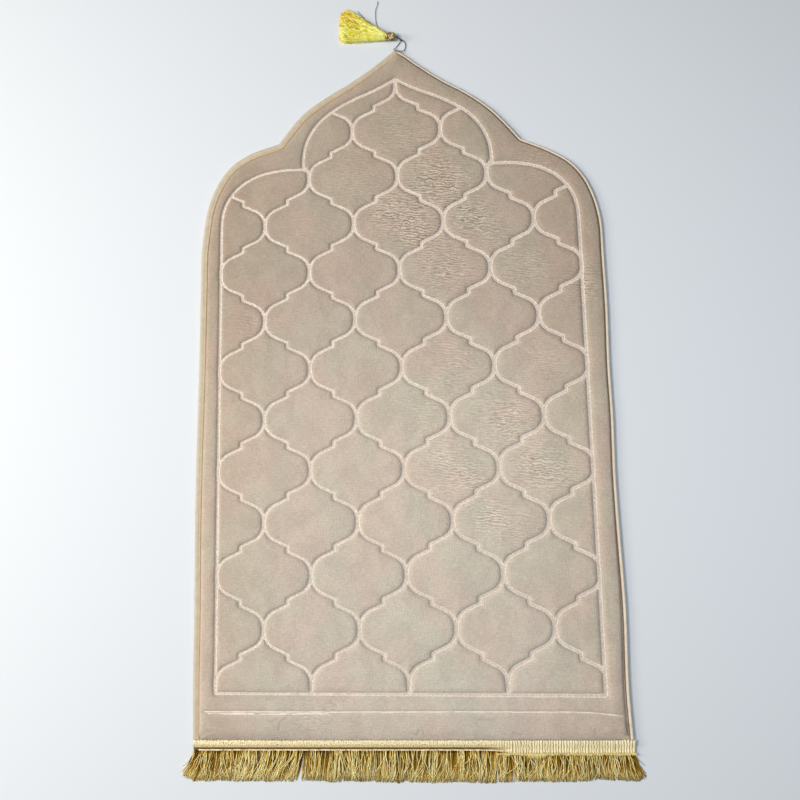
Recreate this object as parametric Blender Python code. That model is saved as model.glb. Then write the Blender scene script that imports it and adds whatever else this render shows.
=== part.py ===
"""A padded prayer rug lying flat.

It is a plush mat with an ogee arch at its head, a trellis pressed into its face, a bound edge, a fringe along
its foot, and a tassel on a thread loop at the tip of the arch.

Metres, +Z up. The origin is on the mat's underside, midway between the tip of the arch and the foot. +Y runs to
the tip, and +X to the right as seen from above.
"""

import math

import bmesh
import bpy
import numpy as np
from mathutils.geometry import delaunay_2d_cdt

# ---- Mat ----
FINISHED_LENGTH = 1.100  # from the foot to the bound tip of the arch
BINDING_NOSE = 0.0015  # how far the binding's fold stands out from the mat's own edge
FOOT_Y = -FINISHED_LENGTH / 2
TIP_Y = FINISHED_LENGTH / 2 - BINDING_NOSE
MAT_THICKNESS = 0.0095  # at the foot of each pillow, away from the lines
CROWN_RISE = 0.0012  # how much higher the middle of a pillow stands
CROWN_REACH = 0.045  # the distance from a line at which a pillow is at its highest
EDGE_TOP = 0.0042  # the padding is sewn down to this height along the edge
EDGE_STEP = 0.0015  # the underside steps up this much, to take the binding's lower leg
EDGE_RAMP = 0.020  # the face is at full height this far in from the edge
CLEARANCE = 0.0003  # between pieces that touch on the real rug

# The arch, as distances from the middle line and heights. The cloth lies a little unevenly, so each side has
# its own measures. A name says where on the edge the row is.
#   station            left x   left y  right x  right y
SHOULDER = (
    ("foot of curve", 0.3240, 0.1900, 0.3255, 0.1900),
    ("outer curve", 0.3195, 0.2450, 0.3235, 0.2450),
    ("bend", 0.3105, 0.2865, 0.3150, 0.2825),
    ("upper bend", 0.2960, 0.3230, 0.3010, 0.3140),
    ("top of curve", 0.2760, 0.3510, 0.2800, 0.3395),
    ("slope", 0.2515, 0.3675, 0.2545, 0.3570),
    ("notch", 0.1950, 0.3895, 0.2030, 0.3805),
)
ARCH = (
    ("notch", 0.1950, 0.3895, 0.2030, 0.3805),
    ("above notch", 0.1770, 0.4140, 0.1800, 0.4110),
    ("arch shoulder", 0.1555, 0.4385, 0.1560, 0.4380),
    ("arch slope", 0.1215, 0.4640, 0.1210, 0.4655),
    ("ogee", 0.0730, 0.4925, 0.0750, 0.4930),
    ("under tip", 0.0280, 0.5230, 0.0340, 0.5225),
)
TIP_X = 0.0035
FOOT_CORNER_X = 0.3235

# ---- Lines pressed into the face ----
LINE_DEPTH = 0.0030
LINE_REACH = 0.0060  # from the middle of a line to the full height of the face
SEAM_DEPTH = 0.0016  # the finer line of stitching near the foot
SEAM_REACH = 0.0040
SEAM_ENDS = ((-0.298, -0.508), (0.300, -0.5125))

# The trellis: a junction at the top of the middle line, and sides that run from each junction to the next.
CELL_HALF_WIDTH = 0.0730
CELL_ROW = 0.0796
TRELLIS_TOP_Y = 0.4850
TRELLIS_ROWS = 12
SIDE_COLUMNS = 4  # the side lines of the border stand on this column of junctions
CURL_RADIUS = 0.361  # of the arc that leaves a junction, in cell sizes
CURL_TURN = math.radians(67.3)
CURL_POINTS = 2
STEM_LENGTH = 0.011  # the short straight pieces that join the trellis to the border at the tip and the foot

# The border line, half of it, from the tip to the side. The two halves match.
#   station            x       y
BORDER_ARCH = (
    ("tip", 0.0000, 0.4960),
    ("ogee", 0.0360, 0.4770),
    ("arch slope", 0.0700, 0.4625),
    ("arch shoulder", 0.1050, 0.4430),
    ("bend", 0.1260, 0.4260),
    ("upright", 0.1430, 0.4030),
    ("above cusp", 0.1525, 0.3790),
    ("cusp", 0.1560, 0.3420),
)
BORDER_SHOULDER = (
    ("cusp", 0.1560, 0.3420),
    ("top", 0.1950, 0.3410),
    ("slope", 0.2360, 0.3310),
    ("bend", 0.2640, 0.3130),
    ("upright", 0.2830, 0.2870),
    ("foot of curve", 0.2910, 0.2420),
)
BORDER_FOOT_LEFT = (-0.2920, -0.4820)
BORDER_FOOT_RIGHT = (0.2880, -0.4870)
CUSP_LINK_END = (0.1450, 0.3370)  # where the border's cusp runs into the trellis

# ---- Edge binding, a strip folded round the edge of the mat ----
BINDING_WIDTH = 0.0080
BINDING_STRIP = 0.0012
BINDING_CROWN = 0.0003  # the rolled edge stands this much over the strip beside it

# ---- Fringe ----
HEADING_LEFT_X = -0.3250
HEADING_RIGHT_X = 0.3275
HEADING_LAP = 0.0035  # how far the heading lies over the mat
HEADING_DROP = 0.0205  # its width, down to the roots of the locks
HEADING_THICKNESS = 0.0015
ROOT_HEIGHT = 0.0019  # of the heading's lower edge, and of the locks at their roots
LOCK_COUNT = 180
LOCKS_PER_PANEL = 12
LOCK_WIDTH = 0.0026
LOCK_LENGTH = 0.0360
LOCK_TIP_HEIGHT = 0.0012
FLARE_LEFT = 0.0160
FLARE_RIGHT = 0.0120
FLARE_REACH = 0.0140
# Waves along the fringe, as height, spacing and shift.
LEAN_WAVES = ((0.0025, 0.0210, 0.0), (0.0006, 0.0068, 1.0))
LENGTH_WAVES = ((0.0014, 0.0170, 0.0), (0.0009, 0.0031, 0.0))

# ---- Tassel, lying on its side and pointing left ----
TASSEL_Y = 0.5755
NECK_RADIUS = 0.0062
NECK_LEFT_X = -0.0155
NECK_RIGHT_X = 0.0010
DOME = ((0.0, 1.0), (0.0008, 0.75), (0.0014, 0.35))  # how far past the neck's end, and how wide there
SKIRT_COLUMNS = 12
SKIRT_ROWS = 3
SKIRT_LENGTH = 0.0735
SKIRT_LOW_ANGLE = math.radians(181)
SKIRT_HIGH_ANGLE = math.radians(147)
SKIRT_TIP_WIDTH = 0.0031
SKIRT_TIP_HEIGHT = 0.0013
SKIRT_TIP_PITCH = 0.0018  # from one row of tips to the row above it
ROOT_MARGIN = (0.18, 0.12)  # left clear on each side of a strand's root, across and upwards, in strand pitches
WRAP_RADIUS = 0.0070
RIDGE = 0.0004  # how far each turn of the wound thread stands out
WRAP_TURNS = 6
WRAP_SIDES = 24
WRAP_LEFT_X = -0.0148
WRAP_RIGHT_X = 0.0004

# ---- Thread ----
LOOP_RADIUS = 0.0006
END_RADIUS = 0.0004
KNOT_RADIUS = 0.0017
THREAD_STEP = 0.0026
SHANK_STEP = 0.0012
# From the tassel's head down to the knot, which lies on the floor.
SHANK_ROUTE = (
    (0.0027, TASSEL_Y, 0.0068),
    (0.0060, 0.5748, 0.0056),
    (0.0095, 0.5730, 0.0028),
    (0.0115, 0.5717, 0.0020),
    (0.0139, 0.5702, 0.0019),
)
# From the knot along the floor, up over the tip of the mat, and back to the knot.
LOOP_ROUTE = (
    (0.0115, 0.5692, 0.0018),
    (0.0084, 0.5645, 0.0008),
    (0.0048, 0.5600, 0.0008),
    (0.0012, 0.5554, 0.0022),
    (-0.0004, 0.5515, 0.0066),
    (0.0016, 0.5488, 0.0071),
    (0.0056, 0.5480, 0.0071),
    (0.0096, 0.5474, 0.0071),
    (0.0136, 0.5484, 0.0060),
    (0.0170, 0.5520, 0.0016),
    (0.0192, 0.5580, 0.0008),
    (0.0196, 0.5635, 0.0008),
    (0.0180, 0.5678, 0.0012),
    (0.0144, 0.5700, 0.0018),
)
# The two free ends come out beside the wrapped neck and run along the floor.
END_SIDE_ROUTE = (
    (-0.0155, 0.5828, 0.0066),
    (-0.0195, 0.5864, 0.0050),
    (-0.0245, 0.5896, 0.0034),
    (-0.0300, 0.5936, 0.0018),
    (-0.0357, 0.5994, 0.0006),
    (-0.0434, 0.6072, 0.0006),
    (-0.0492, 0.6139, 0.0006),
    (-0.0545, 0.6204, 0.0006),
    (-0.0588, 0.6255, 0.0006),
    (-0.0607, 0.6289, 0.0006),
)
END_UP_ROUTE = (
    (-0.0190, 0.5872, 0.0046),
    (-0.0220, 0.5905, 0.0024),
    (-0.0258, 0.5952, 0.0006),
    (-0.0284, 0.6017, 0.0006),
    (-0.0302, 0.6102, 0.0006),
    (-0.0304, 0.6209, 0.0006),
    (-0.0299, 0.6305, 0.0006),
    (-0.0280, 0.6357, 0.0006),
    (-0.0265, 0.6410, 0.0006),
    (-0.0262, 0.6460, 0.0006),
)

# ---- Fineness of the solids ----
EDGE_SPACING = 0.0130
LINE_SPACING = 0.0170
SHOULDER_SPACING = 0.0200
STRAIGHT_SPACING = 0.0265
SIDE_SPACING = 0.0900
PILLOW_SPACING = 0.0480


def smooth_curve(points, step, start=None, end=None):
    """Points about a step apart on a curve that runs smoothly through the given ones.

    start and end are the directions it leaves and arrives in. Without one it starts or ends straight.
    """
    points = np.array(points, float)
    chords = np.diff(points, axis=0)
    lengths = np.linalg.norm(chords, axis=1)
    headings = chords / lengths[:, None]
    tangents = np.empty_like(points)
    before, after = lengths[:-1, None], lengths[1:, None]
    tangents[1:-1] = (headings[1:] * before + headings[:-1] * after) / (before + after)
    tangents[0] = headings[0] if start is None else start
    tangents[-1] = headings[-1] if end is None else end
    made = [points[0]]
    for i, length in enumerate(lengths):
        count = max(1, math.ceil(length / step))
        for t in np.arange(1, count + 1) / count:
            made.append(
                (2 * t**3 - 3 * t**2 + 1) * points[i]
                + (t**3 - 2 * t**2 + t) * length * tangents[i]
                + (3 * t**2 - 2 * t**3) * points[i + 1]
                + (t**3 - t**2) * length * tangents[i + 1]
            )
    return made


def divided(start, end, step):
    """Points about a step apart on the straight way from start to end, without the end itself."""
    start, end = np.array(start, float), np.array(end, float)
    count = math.ceil(np.linalg.norm(end - start) / step)
    return [start + (end - start) * i / count for i in range(count)]


def mat_outline(step):
    """The mat's edge seen from above, anticlockwise from the right end of its foot."""
    up, down = (0, 1), (0, -1)
    right_shoulder = smooth_curve([(x, y) for _, _, _, x, y in SHOULDER], step, start=up)
    left_shoulder = smooth_curve([(-x, y) for _, x, y, _, _ in SHOULDER[::-1]], step, end=down)
    right_arch = [(x, y) for _, _, _, x, y in ARCH]
    left_arch = [(-x, y) for _, x, y, _, _ in ARCH[::-1]]
    arch = smooth_curve([*right_arch, (TIP_X, TIP_Y), *left_arch], step)
    right_side = divided((FOOT_CORNER_X, FOOT_Y), right_shoulder[0], SIDE_SPACING)
    left_side = divided(left_shoulder[-1], (-FOOT_CORNER_X, FOOT_Y), SIDE_SPACING)
    left_foot = np.array((-FOOT_CORNER_X, FOOT_Y))
    return [*right_side, *right_shoulder, *arch[1:], *left_shoulder[1:-1], *left_side, left_foot]


def border_line(step):
    """The border line, anticlockwise from its right foot, as a closed loop."""
    arch = smooth_curve([(x, y) for _, x, y in BORDER_ARCH[::-1]], step)
    shoulder = smooth_curve([(x, y) for _, x, y in BORDER_SHOULDER[::-1]], step, start=(0, 1))
    right = [*shoulder, *arch[1:]]
    left = [np.array((-x, y)) for x, y in right[-2::-1]]
    right_side = divided(BORDER_FOOT_RIGHT, right[0], STRAIGHT_SPACING)
    left_side = divided(left[-1], BORDER_FOOT_LEFT, STRAIGHT_SPACING)[1:]
    foot = divided(BORDER_FOOT_LEFT, BORDER_FOOT_RIGHT, STRAIGHT_SPACING)
    return [*right_side, *right, *left, *left_side, *foot]


def trellis_side():
    """One side of a cell, from a junction at (0, 0) to the next at (1, 1), in cell sizes, going down.

    It leaves the junction upright, curls over into a gentle slope, and drops a small step at the middle.
    """
    curl = []
    for i in range(CURL_POINTS + 1):
        turn = CURL_TURN * i / CURL_POINTS
        curl.append((CURL_RADIUS * (1 - math.cos(turn)), CURL_RADIUS * math.sin(turn)))
    rise = (0.5 - curl[-1][0]) / math.tan(CURL_TURN)
    half = [*curl, (0.5, curl[-1][1] + rise)]
    return np.array([*half, *[(1 - x, 1 - y) for x, y in half[::-1]]])


def inside(point, loop):
    """Whether a point lies inside a closed loop."""
    a, b = np.array(loop), np.roll(np.array(loop), -1, axis=0)
    spans = (a[:, 1] > point[1]) != (b[:, 1] > point[1])
    a, b = a[spans], b[spans]
    crossing = a[:, 0] + (point[1] - a[:, 1]) / (b[:, 1] - a[:, 1]) * (b[:, 0] - a[:, 0])
    return np.count_nonzero(crossing > point[0]) % 2 == 1


def cut_at(kept, dropped, loop):
    """Where the straight piece between a kept and a dropped point crosses the loop."""
    for _ in range(30):
        middle = (kept + dropped) / 2
        if inside(middle, loop):
            kept = middle
        else:
            dropped = middle
    return kept


def clip(line, loop):
    """The longest stretch of the line that lies inside the loop, or None."""
    flags = [inside(p, loop) for p in line]
    if not any(flags):
        return None
    first = flags.index(True)
    last = len(flags) - 1 - flags[::-1].index(True)
    stretch = list(line[first : last + 1])
    if first > 0:
        stretch.insert(0, cut_at(line[first], line[first - 1], loop))
    if last < len(line) - 1:
        stretch.append(cut_at(line[last], line[last + 1], loop))
    return stretch


def trellis_lines(border):
    """The trellis's sides, cut off where they meet the border line, and its short stems."""
    shape = trellis_side()
    lines = []
    for row in range(TRELLIS_ROWS):
        for column in range(-SIDE_COLUMNS, SIDE_COLUMNS + 1):
            if (row + column) % 2:
                continue
            for way in (-1, 1):
                x = (column + way * shape[:, 0]) * CELL_HALF_WIDTH
                y = TRELLIS_TOP_Y - (row + shape[:, 1]) * CELL_ROW
                stretch = clip(np.stack([x, y], axis=1), border)
                if stretch is not None:
                    lines.append(stretch)
    top = np.array((0, TRELLIS_TOP_Y))
    lines.append([top, top + (0, STEM_LENGTH)])
    foot_y = TRELLIS_TOP_Y - TRELLIS_ROWS * CELL_ROW
    for column in range(2 - SIDE_COLUMNS, SIDE_COLUMNS, 2):
        foot = np.array((column * CELL_HALF_WIDTH, foot_y))
        lines.append([foot, foot - (0, STEM_LENGTH)])
    for way in (-1, 1):
        cusp = np.array((way * BORDER_ARCH[-1][1], BORDER_ARCH[-1][2]))
        lines.append([cusp, np.array((way * CUSP_LINK_END[0], CUSP_LINK_END[1]))])
    return lines


def segments_of(lines):
    """All the straight pieces of these lines, as starts and ends."""
    starts = np.array([p for line in lines for p in line[:-1]])
    ends = np.array([p for line in lines for p in line[1:]])
    return starts, ends


def distance(points, segments):
    """How far each point is from the nearest of these straight pieces."""
    starts, ends = segments
    along = ends - starts
    to_point = points[:, None] - starts[None]
    share = (to_point * along).sum(2) / np.maximum((along**2).sum(1), 1e-12)
    nearest = starts + np.clip(share, 0, 1)[..., None] * along
    return np.linalg.norm(points[:, None] - nearest, axis=2).min(1)


def eased(share):
    share = np.clip(share, 0, 1)
    return share * share * (3 - 2 * share)


def inset(loop, depth):
    """The loop moved inwards by this depth, point by point. The loop runs anticlockwise."""
    moved = []
    for i, point in enumerate(loop):
        before = point - loop[i - 1]
        after = loop[(i + 1) % len(loop)] - point
        before = before / np.linalg.norm(before)
        after = after / np.linalg.norm(after)
        normal = np.array((-before[1] - after[1], before[0] + after[0]))
        moved.append(point + normal * 2 * depth / normal.dot(normal))
    return moved


def shoulder_points(lines, reach, segments):
    """Points on both sides of the lines where the face is back at full height, none near another line."""
    found = []
    for line in lines:
        for start, end in zip(line, line[1:]):
            along = end - start
            length = np.linalg.norm(along)
            across = np.array((-along[1], along[0])) / length
            count = max(1, round(length / SHOULDER_SPACING))
            for share in (np.arange(count) + 0.5) / count:
                found.append(start + along * share + across * reach)
                found.append(start + along * share - across * reach)
        for before, point, after in zip(line, line[1:], line[2:]):
            corner = inset([before, point, after], reach)[1] - point
            if np.linalg.norm(corner) < 1.5 * reach:
                found.append(point + corner)
                found.append(point - corner)
    found = np.array(found)
    found = found[distance(found, segments) > 0.85 * reach]
    return thinned(found, 0.75 * reach)


def thinned(points, spacing):
    """These points without those that are closer than the spacing to one before them."""
    kept = []
    for point in points:
        if not kept or np.linalg.norm(np.array(kept) - point, axis=1).min() > spacing:
            kept.append(point)
    return np.array(kept)


def pillow_points(outline, segments):
    """A staggered grid of points over the mat, clear of its lines and its edge."""
    rows = []
    row_height = PILLOW_SPACING * math.sqrt(3) / 2
    for i, y in enumerate(np.arange(FOOT_Y, TIP_Y, row_height)):
        shift = PILLOW_SPACING / 2 * (i % 2)
        for x in np.arange(-FOOT_CORNER_X, FOOT_CORNER_X, PILLOW_SPACING):
            rows.append((x + shift, y))
    points = np.array(rows)
    edge = segments_of([[*outline, outline[0]]])
    points = points[[inside(p, outline) for p in points]]
    points = points[distance(points, edge) > EDGE_RAMP + LINE_REACH]
    return points[distance(points, segments) > 2.4 * LINE_REACH]


def face_height(points, edge, line_segments, seam_segments):
    """The height of the mat's face: sewn down at the edge, pressed in at the lines, crowned between them."""
    from_edge = distance(points, edge)
    from_line = distance(points, line_segments)
    from_seam = distance(points, seam_segments)
    crown = CROWN_RISE * eased(from_line / CROWN_REACH) * eased(from_edge / CROWN_REACH)
    height = MAT_THICKNESS + crown
    height = height - LINE_DEPTH * (1 - eased(from_line / LINE_REACH))
    height = height - SEAM_DEPTH * (1 - eased(from_seam / SEAM_REACH))
    ramp = eased((from_edge - BINDING_WIDTH) / (EDGE_RAMP - BINDING_WIDTH))
    return EDGE_TOP + (height - EDGE_TOP) * ramp


def loop_edges(first, count):
    return [(first + i, first + (i + 1) % count) for i in range(count)]


def mesh_object(name, points, faces, material):
    """An object from points and faces, with its normals turned outwards."""
    mesh = bpy.data.meshes.new(name)
    mesh.from_pydata([tuple(p) for p in points], [], faces)
    shape = bmesh.new()
    shape.from_mesh(mesh)
    bmesh.ops.recalc_face_normals(shape, faces=shape.faces)
    shape.to_mesh(mesh)
    shape.free()
    mesh.materials.append(material)
    obj = bpy.data.objects.new(name, mesh)
    bpy.context.scene.collection.objects.link(obj)
    return obj


def add_material(name, hex_colour, roughness, sheen=0.0):
    """A Principled material in an sRGB colour."""
    material = bpy.data.materials.new(name)
    material.use_nodes = True
    shader = material.node_tree.nodes["Principled BSDF"]
    channels = [int(hex_colour[i : i + 2], 16) / 255 for i in (1, 3, 5)]
    linear = [((c + 0.055) / 1.055) ** 2.4 if c > 0.04045 else c / 12.92 for c in channels]
    shader.inputs["Base Color"].default_value = (*linear, 1)
    shader.inputs["Roughness"].default_value = roughness
    shader.inputs["Metallic"].default_value = 0
    shader.inputs["Sheen Weight"].default_value = sheen
    return material


def make_mat(material):
    """The mat in one closed solid, triangulated along the pressed lines, with a flat underside."""
    outline = mat_outline(EDGE_SPACING)
    border = border_line(LINE_SPACING)
    trellis = trellis_lines(border)
    closed_border = [*border, border[0]]
    seam = [*divided(*SEAM_ENDS, STRAIGHT_SPACING), np.array(SEAM_ENDS[1])]
    line_segments = segments_of([closed_border, *trellis])
    seam_segments = segments_of([seam])
    all_segments = segments_of([closed_border, *trellis, seam])
    edge = segments_of([[*outline, outline[0]]])

    flat = [*outline]
    edges = loop_edges(0, len(outline))
    for depth in (BINDING_WIDTH, EDGE_RAMP):
        edges += loop_edges(len(flat), len(outline))
        flat += inset(outline, depth)
    edges += loop_edges(len(flat), len(border))
    flat += border
    for line in [*trellis, seam]:
        edges += [(len(flat) + i, len(flat) + i + 1) for i in range(len(line) - 1)]
        flat += list(line)
    flat += list(shoulder_points([closed_border, *trellis], LINE_REACH, all_segments))
    flat += list(shoulder_points([seam], SEAM_REACH, all_segments))
    flat += list(pillow_points(outline, all_segments))

    found, _, triangles, origins, _, _ = delaunay_2d_cdt([tuple(p) for p in flat], edges, [], 1, 1e-7)
    face = np.array([tuple(p) for p in found])
    heights = face_height(face, edge, line_segments, seam_segments)
    place = {source: i for i, sources in enumerate(origins) for source in sources}
    rim = [place[i] for i in range(len(outline))]

    points = [(x, y, z) for (x, y), z in zip(face, heights)]
    faces = [tuple(t) for t in triangles]
    step_in = inset(outline, BINDING_WIDTH + 2 * CLEARANCE)
    upper = rim
    for ring, height in ((outline, EDGE_STEP), (step_in, EDGE_STEP), (step_in, 0.0)):
        lower = list(range(len(points), len(points) + len(ring)))
        points += [(x, y, height) for x, y in ring]
        for i, j in loop_edges(0, len(ring)):
            faces.append((upper[i], lower[i], lower[j], upper[j]))
        upper = lower
    faces.append(tuple(upper[::-1]))
    return mesh_object("rug_pad", points, faces, material)


def binding_section():
    """The folded strip's section: how far out from the mat's edge, and how high."""
    leg = -BINDING_WIDTH
    face = EDGE_TOP + CLEARANCE
    top = face + BINDING_STRIP
    return (
        (leg, face),
        (leg, top),
        (-CLEARANCE, top + BINDING_CROWN),
        (BINDING_NOSE, 0.75 * top),
        (BINDING_NOSE, 0.25 * top),
        (0.0, 0.0),
        (leg, 0.0),
        (leg, BINDING_STRIP),
        (CLEARANCE, BINDING_STRIP),
        (CLEARANCE, face),
    )


def make_binding(material):
    """The strip folded round the edge, from one end of the foot round the arch to the other."""
    outline = mat_outline(EDGE_SPACING)
    moved = np.array(outline) - np.array(inset(outline, 1.0))  # outward, for each metre of depth
    end_y = FOOT_Y + HEADING_LAP + CLEARANCE
    path = [np.array((outline[0][0], end_y)), *outline[1:-1], np.array((outline[-1][0], end_y))]
    outward = [np.array((1.0, 0.0)), *moved[1:-1], np.array((-1.0, 0.0))]
    section = binding_section()
    count = len(section)
    points = []
    for place, way in zip(path, outward):
        points += [(*(place + way * out), height) for out, height in section]
    faces = [tuple(range(count)), tuple(range(len(points) - 1, len(points) - count - 1, -1))]
    for ring in range(len(path) - 1):
        for i, j in loop_edges(0, count):
            a, b = ring * count, (ring + 1) * count
            faces.append((a + i, a + j, b + j, b + i))
    return mesh_object("edge_binding", points, faces, material)


def lock_lean(x):
    """How far a lock's tip lies to the right of its root. Locks lean in waves, and flare at the two ends."""
    waves = sum(height * math.sin(x / spacing + shift) for height, spacing, shift in LEAN_WAVES)
    left = FLARE_LEFT * math.exp((HEADING_LEFT_X - x) / FLARE_REACH)
    right = FLARE_RIGHT * math.exp((x - HEADING_RIGHT_X) / FLARE_REACH)
    return waves - left + right


def lock_length(x):
    """Locks are cut nearly level, a little shorter towards the right end and round the two corners."""
    waves = sum(height * math.sin(x / spacing + shift) for height, spacing, shift in LENGTH_WAVES)
    short = 0.0035 * math.exp(-(((x - 0.275) / 0.040) ** 2))
    corner = 0.010 * math.exp((HEADING_LEFT_X - x) / FLARE_REACH)
    corner += 0.006 * math.exp((x - HEADING_RIGHT_X) / FLARE_REACH)
    return LOCK_LENGTH + waves - short - corner


def heading_section():
    """The heading's section from its edge on the mat down to the floor: rows of (y, upper z, lower z)."""
    top = EDGE_TOP + CLEARANCE
    return (
        (FOOT_Y + HEADING_LAP, top + HEADING_THICKNESS, top),
        (FOOT_Y - 0.0013, top + 0.9 * HEADING_THICKNESS, top),
        (FOOT_Y - 0.0095, 0.0030, 0.0012),
        (FOOT_Y - 0.0135, 0.0023, 0.0),
    )


def make_fringe(material):
    """The heading and its locks in one solid. The locks rest level on the floor."""
    root_y = FOOT_Y + HEADING_LAP - HEADING_DROP
    pitch = (HEADING_RIGHT_X - HEADING_LEFT_X) / LOCK_COUNT
    roots = [HEADING_LEFT_X + pitch * (i + 0.5) for i in range(LOCK_COUNT)]
    fine = [HEADING_LEFT_X]
    for x in roots:
        fine += [x - LOCK_WIDTH / 2, x + LOCK_WIDTH / 2]
    fine.append(HEADING_RIGHT_X)
    # A coarse station stands at each panel's ends, on the left side of a lock's root.
    marks = [0, *range(1 + 2 * LOCKS_PER_PANEL, 2 * LOCK_COUNT, 2 * LOCKS_PER_PANEL), len(fine) - 1]
    coarse = [fine[i] for i in marks]

    points, faces = [], []

    def add_row(xs, y, z):
        points.extend((x, y, z) for x in xs)
        return list(range(len(points) - len(xs), len(points)))

    section = heading_section()
    upper = [add_row(coarse, y, high) for y, high, _ in section]
    lower = [add_row(coarse, y, low) for y, _, low in section]
    fine_top = add_row(fine, root_y, ROOT_HEIGHT)
    fine_foot = add_row(fine, root_y, 0.0)
    for rows in (upper, [row[::-1] for row in lower]):
        for near, far in zip(rows, rows[1:]):
            for i in range(len(near) - 1):
                faces.append((near[i], far[i], far[i + 1], near[i + 1]))
    for k in range(len(marks) - 1):
        first, last = marks[k], marks[k + 1]
        faces.append((upper[-1][k], *fine_top[first : last + 1], upper[-1][k + 1]))
        faces.append((lower[-1][k + 1], *fine_foot[first : last + 1][::-1], lower[-1][k]))
        faces.append((upper[0][k + 1], lower[0][k + 1], lower[0][k], upper[0][k]))
    for k, f in ((0, 0), (-1, -1)):
        side = [row[k] for row in upper] + [fine_top[f], fine_foot[f]] + [row[k] for row in lower[::-1]]
        faces.append(tuple(side if k else side[::-1]))
    for i in range(0, len(fine) - 1, 2):
        faces.append((fine_top[i], fine_foot[i], fine_foot[i + 1], fine_top[i + 1]))
    for n, x in enumerate(roots):
        ring = [fine_foot[2 * n + 1], fine_foot[2 * n + 2], fine_top[2 * n + 2], fine_top[2 * n + 1]]
        length, lean = lock_length(x), lock_lean(x)
        for share in (0.5, 1.0):
            middle = x + lean * share * share
            y = root_y - length * share
            high = ROOT_HEIGHT + (LOCK_TIP_HEIGHT - ROOT_HEIGHT) * share
            half = LOCK_WIDTH / 2
            first = len(points)
            points += [(middle - half, y, 0.0), (middle + half, y, 0.0), (middle + half, y, high)]
            points.append((middle - half, y, high))
            for a, b in loop_edges(0, 4):
                faces.append((ring[a], ring[b], first + b, first + a))
            ring = list(range(first, first + 4))
        faces.append(tuple(ring))
    return mesh_object("fringe", points, faces, material)


def disc_point(u, v):
    """A point of the neck's round face for grid places u and v from -1 to 1."""
    across = u * math.sqrt(1 - v * v / 2)
    height = v * math.sqrt(1 - u * u / 2)
    return across * NECK_RADIUS, height * NECK_RADIUS


def skirt_ring(column, row, share, neck_height):
    """Four corners of a skirt strand at this share of its length."""
    near_u, near_v = ROOT_MARGIN
    far_u, far_v = 1 - near_u, 1 - near_v
    corners = []
    for du, dv in ((near_u, near_v), (far_u, near_v), (far_u, far_v), (near_u, far_v)):
        u = 2 * (column + du) / SKIRT_COLUMNS - 1
        v = 2 * (row + dv) / SKIRT_ROWS - 1
        corners.append(disc_point(u, v))
    fan = (column + 0.5 + (row - 1) / SKIRT_ROWS) / SKIRT_COLUMNS  # a row covers the gaps of the row below
    angle = SKIRT_LOW_ANGLE + (SKIRT_HIGH_ANGLE - SKIRT_LOW_ANGLE) * fan
    length = SKIRT_LENGTH * (1 + 0.05 * fan - 0.02 * ((column + row) % 3))
    root_y = TASSEL_Y + (2 * fan - 1) * NECK_RADIUS
    tip_z = row * SKIRT_TIP_PITCH
    points = []
    for (across, height), (du, dz) in zip(corners, ((-0.5, 0), (0.5, 0), (0.5, 1), (-0.5, 1))):
        root = np.array((NECK_LEFT_X, TASSEL_Y + across, neck_height + height))
        tip_x = NECK_LEFT_X + length * math.cos(angle)
        tip_y = root_y + length * math.sin(angle)
        side = SKIRT_TIP_WIDTH * du
        tip = np.array((tip_x + side * math.sin(angle), tip_y - side * math.cos(angle), 0.0))
        tip[2] = tip_z + dz * SKIRT_TIP_HEIGHT
        settle = math.sin(share * math.pi / 2)  # a strand drops to its resting height early on
        point = root + (tip - root) * share
        point[2] = root[2] + (tip[2] - root[2]) * settle
        points.append(tuple(point))
    return points


def make_tassel(material):
    """Head, neck and skirt in one solid. The skirt's strands fan out and rest on the floor."""
    neck_height = WRAP_RADIUS
    points, faces = [], []

    def add_ring(x, scale):
        first = len(points)
        for u, v in rim:
            across, height = disc_point(u, v)
            points.append((x, TASSEL_Y + across * scale, neck_height + height * scale))
        return list(range(first, len(points)))

    columns, rows = SKIRT_COLUMNS, SKIRT_ROWS
    grid = {}
    for i in range(columns + 1):
        for j in range(rows + 1):
            across, height = disc_point(2 * i / columns - 1, 2 * j / rows - 1)
            grid[i, j] = len(points)
            points.append((NECK_LEFT_X, TASSEL_Y + across, neck_height + height))
    walk = [(i, 0) for i in range(columns)] + [(columns, j) for j in range(rows)]
    walk += [(columns - i, rows) for i in range(columns)] + [(0, rows - j) for j in range(rows)]
    rim = [(2 * i / columns - 1, 2 * j / rows - 1) for i, j in walk]
    near = [grid[place] for place in walk]
    for past, scale in DOME:
        far = add_ring(NECK_RIGHT_X + past, scale)
        for i, j in loop_edges(0, len(near)):
            faces.append((near[i], near[j], far[j], far[i]))
        near = far
    faces.append(tuple(near))
    for i in range(columns):
        for j in range(rows):
            cell = [grid[i, j], grid[i + 1, j], grid[i + 1, j + 1], grid[i, j + 1]]
            ring = []
            for share in (0.0, 0.25, 0.6, 1.0):
                first = len(points)
                points += skirt_ring(i, j, share, neck_height)
                new = list(range(first, first + 4))
                for a, b in loop_edges(0, 4):
                    before = ring or cell
                    faces.append((before[a], before[b], new[b], new[a]))
                ring = new
            faces.append(tuple(ring))
    return mesh_object("tassel", points, faces, material)


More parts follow.
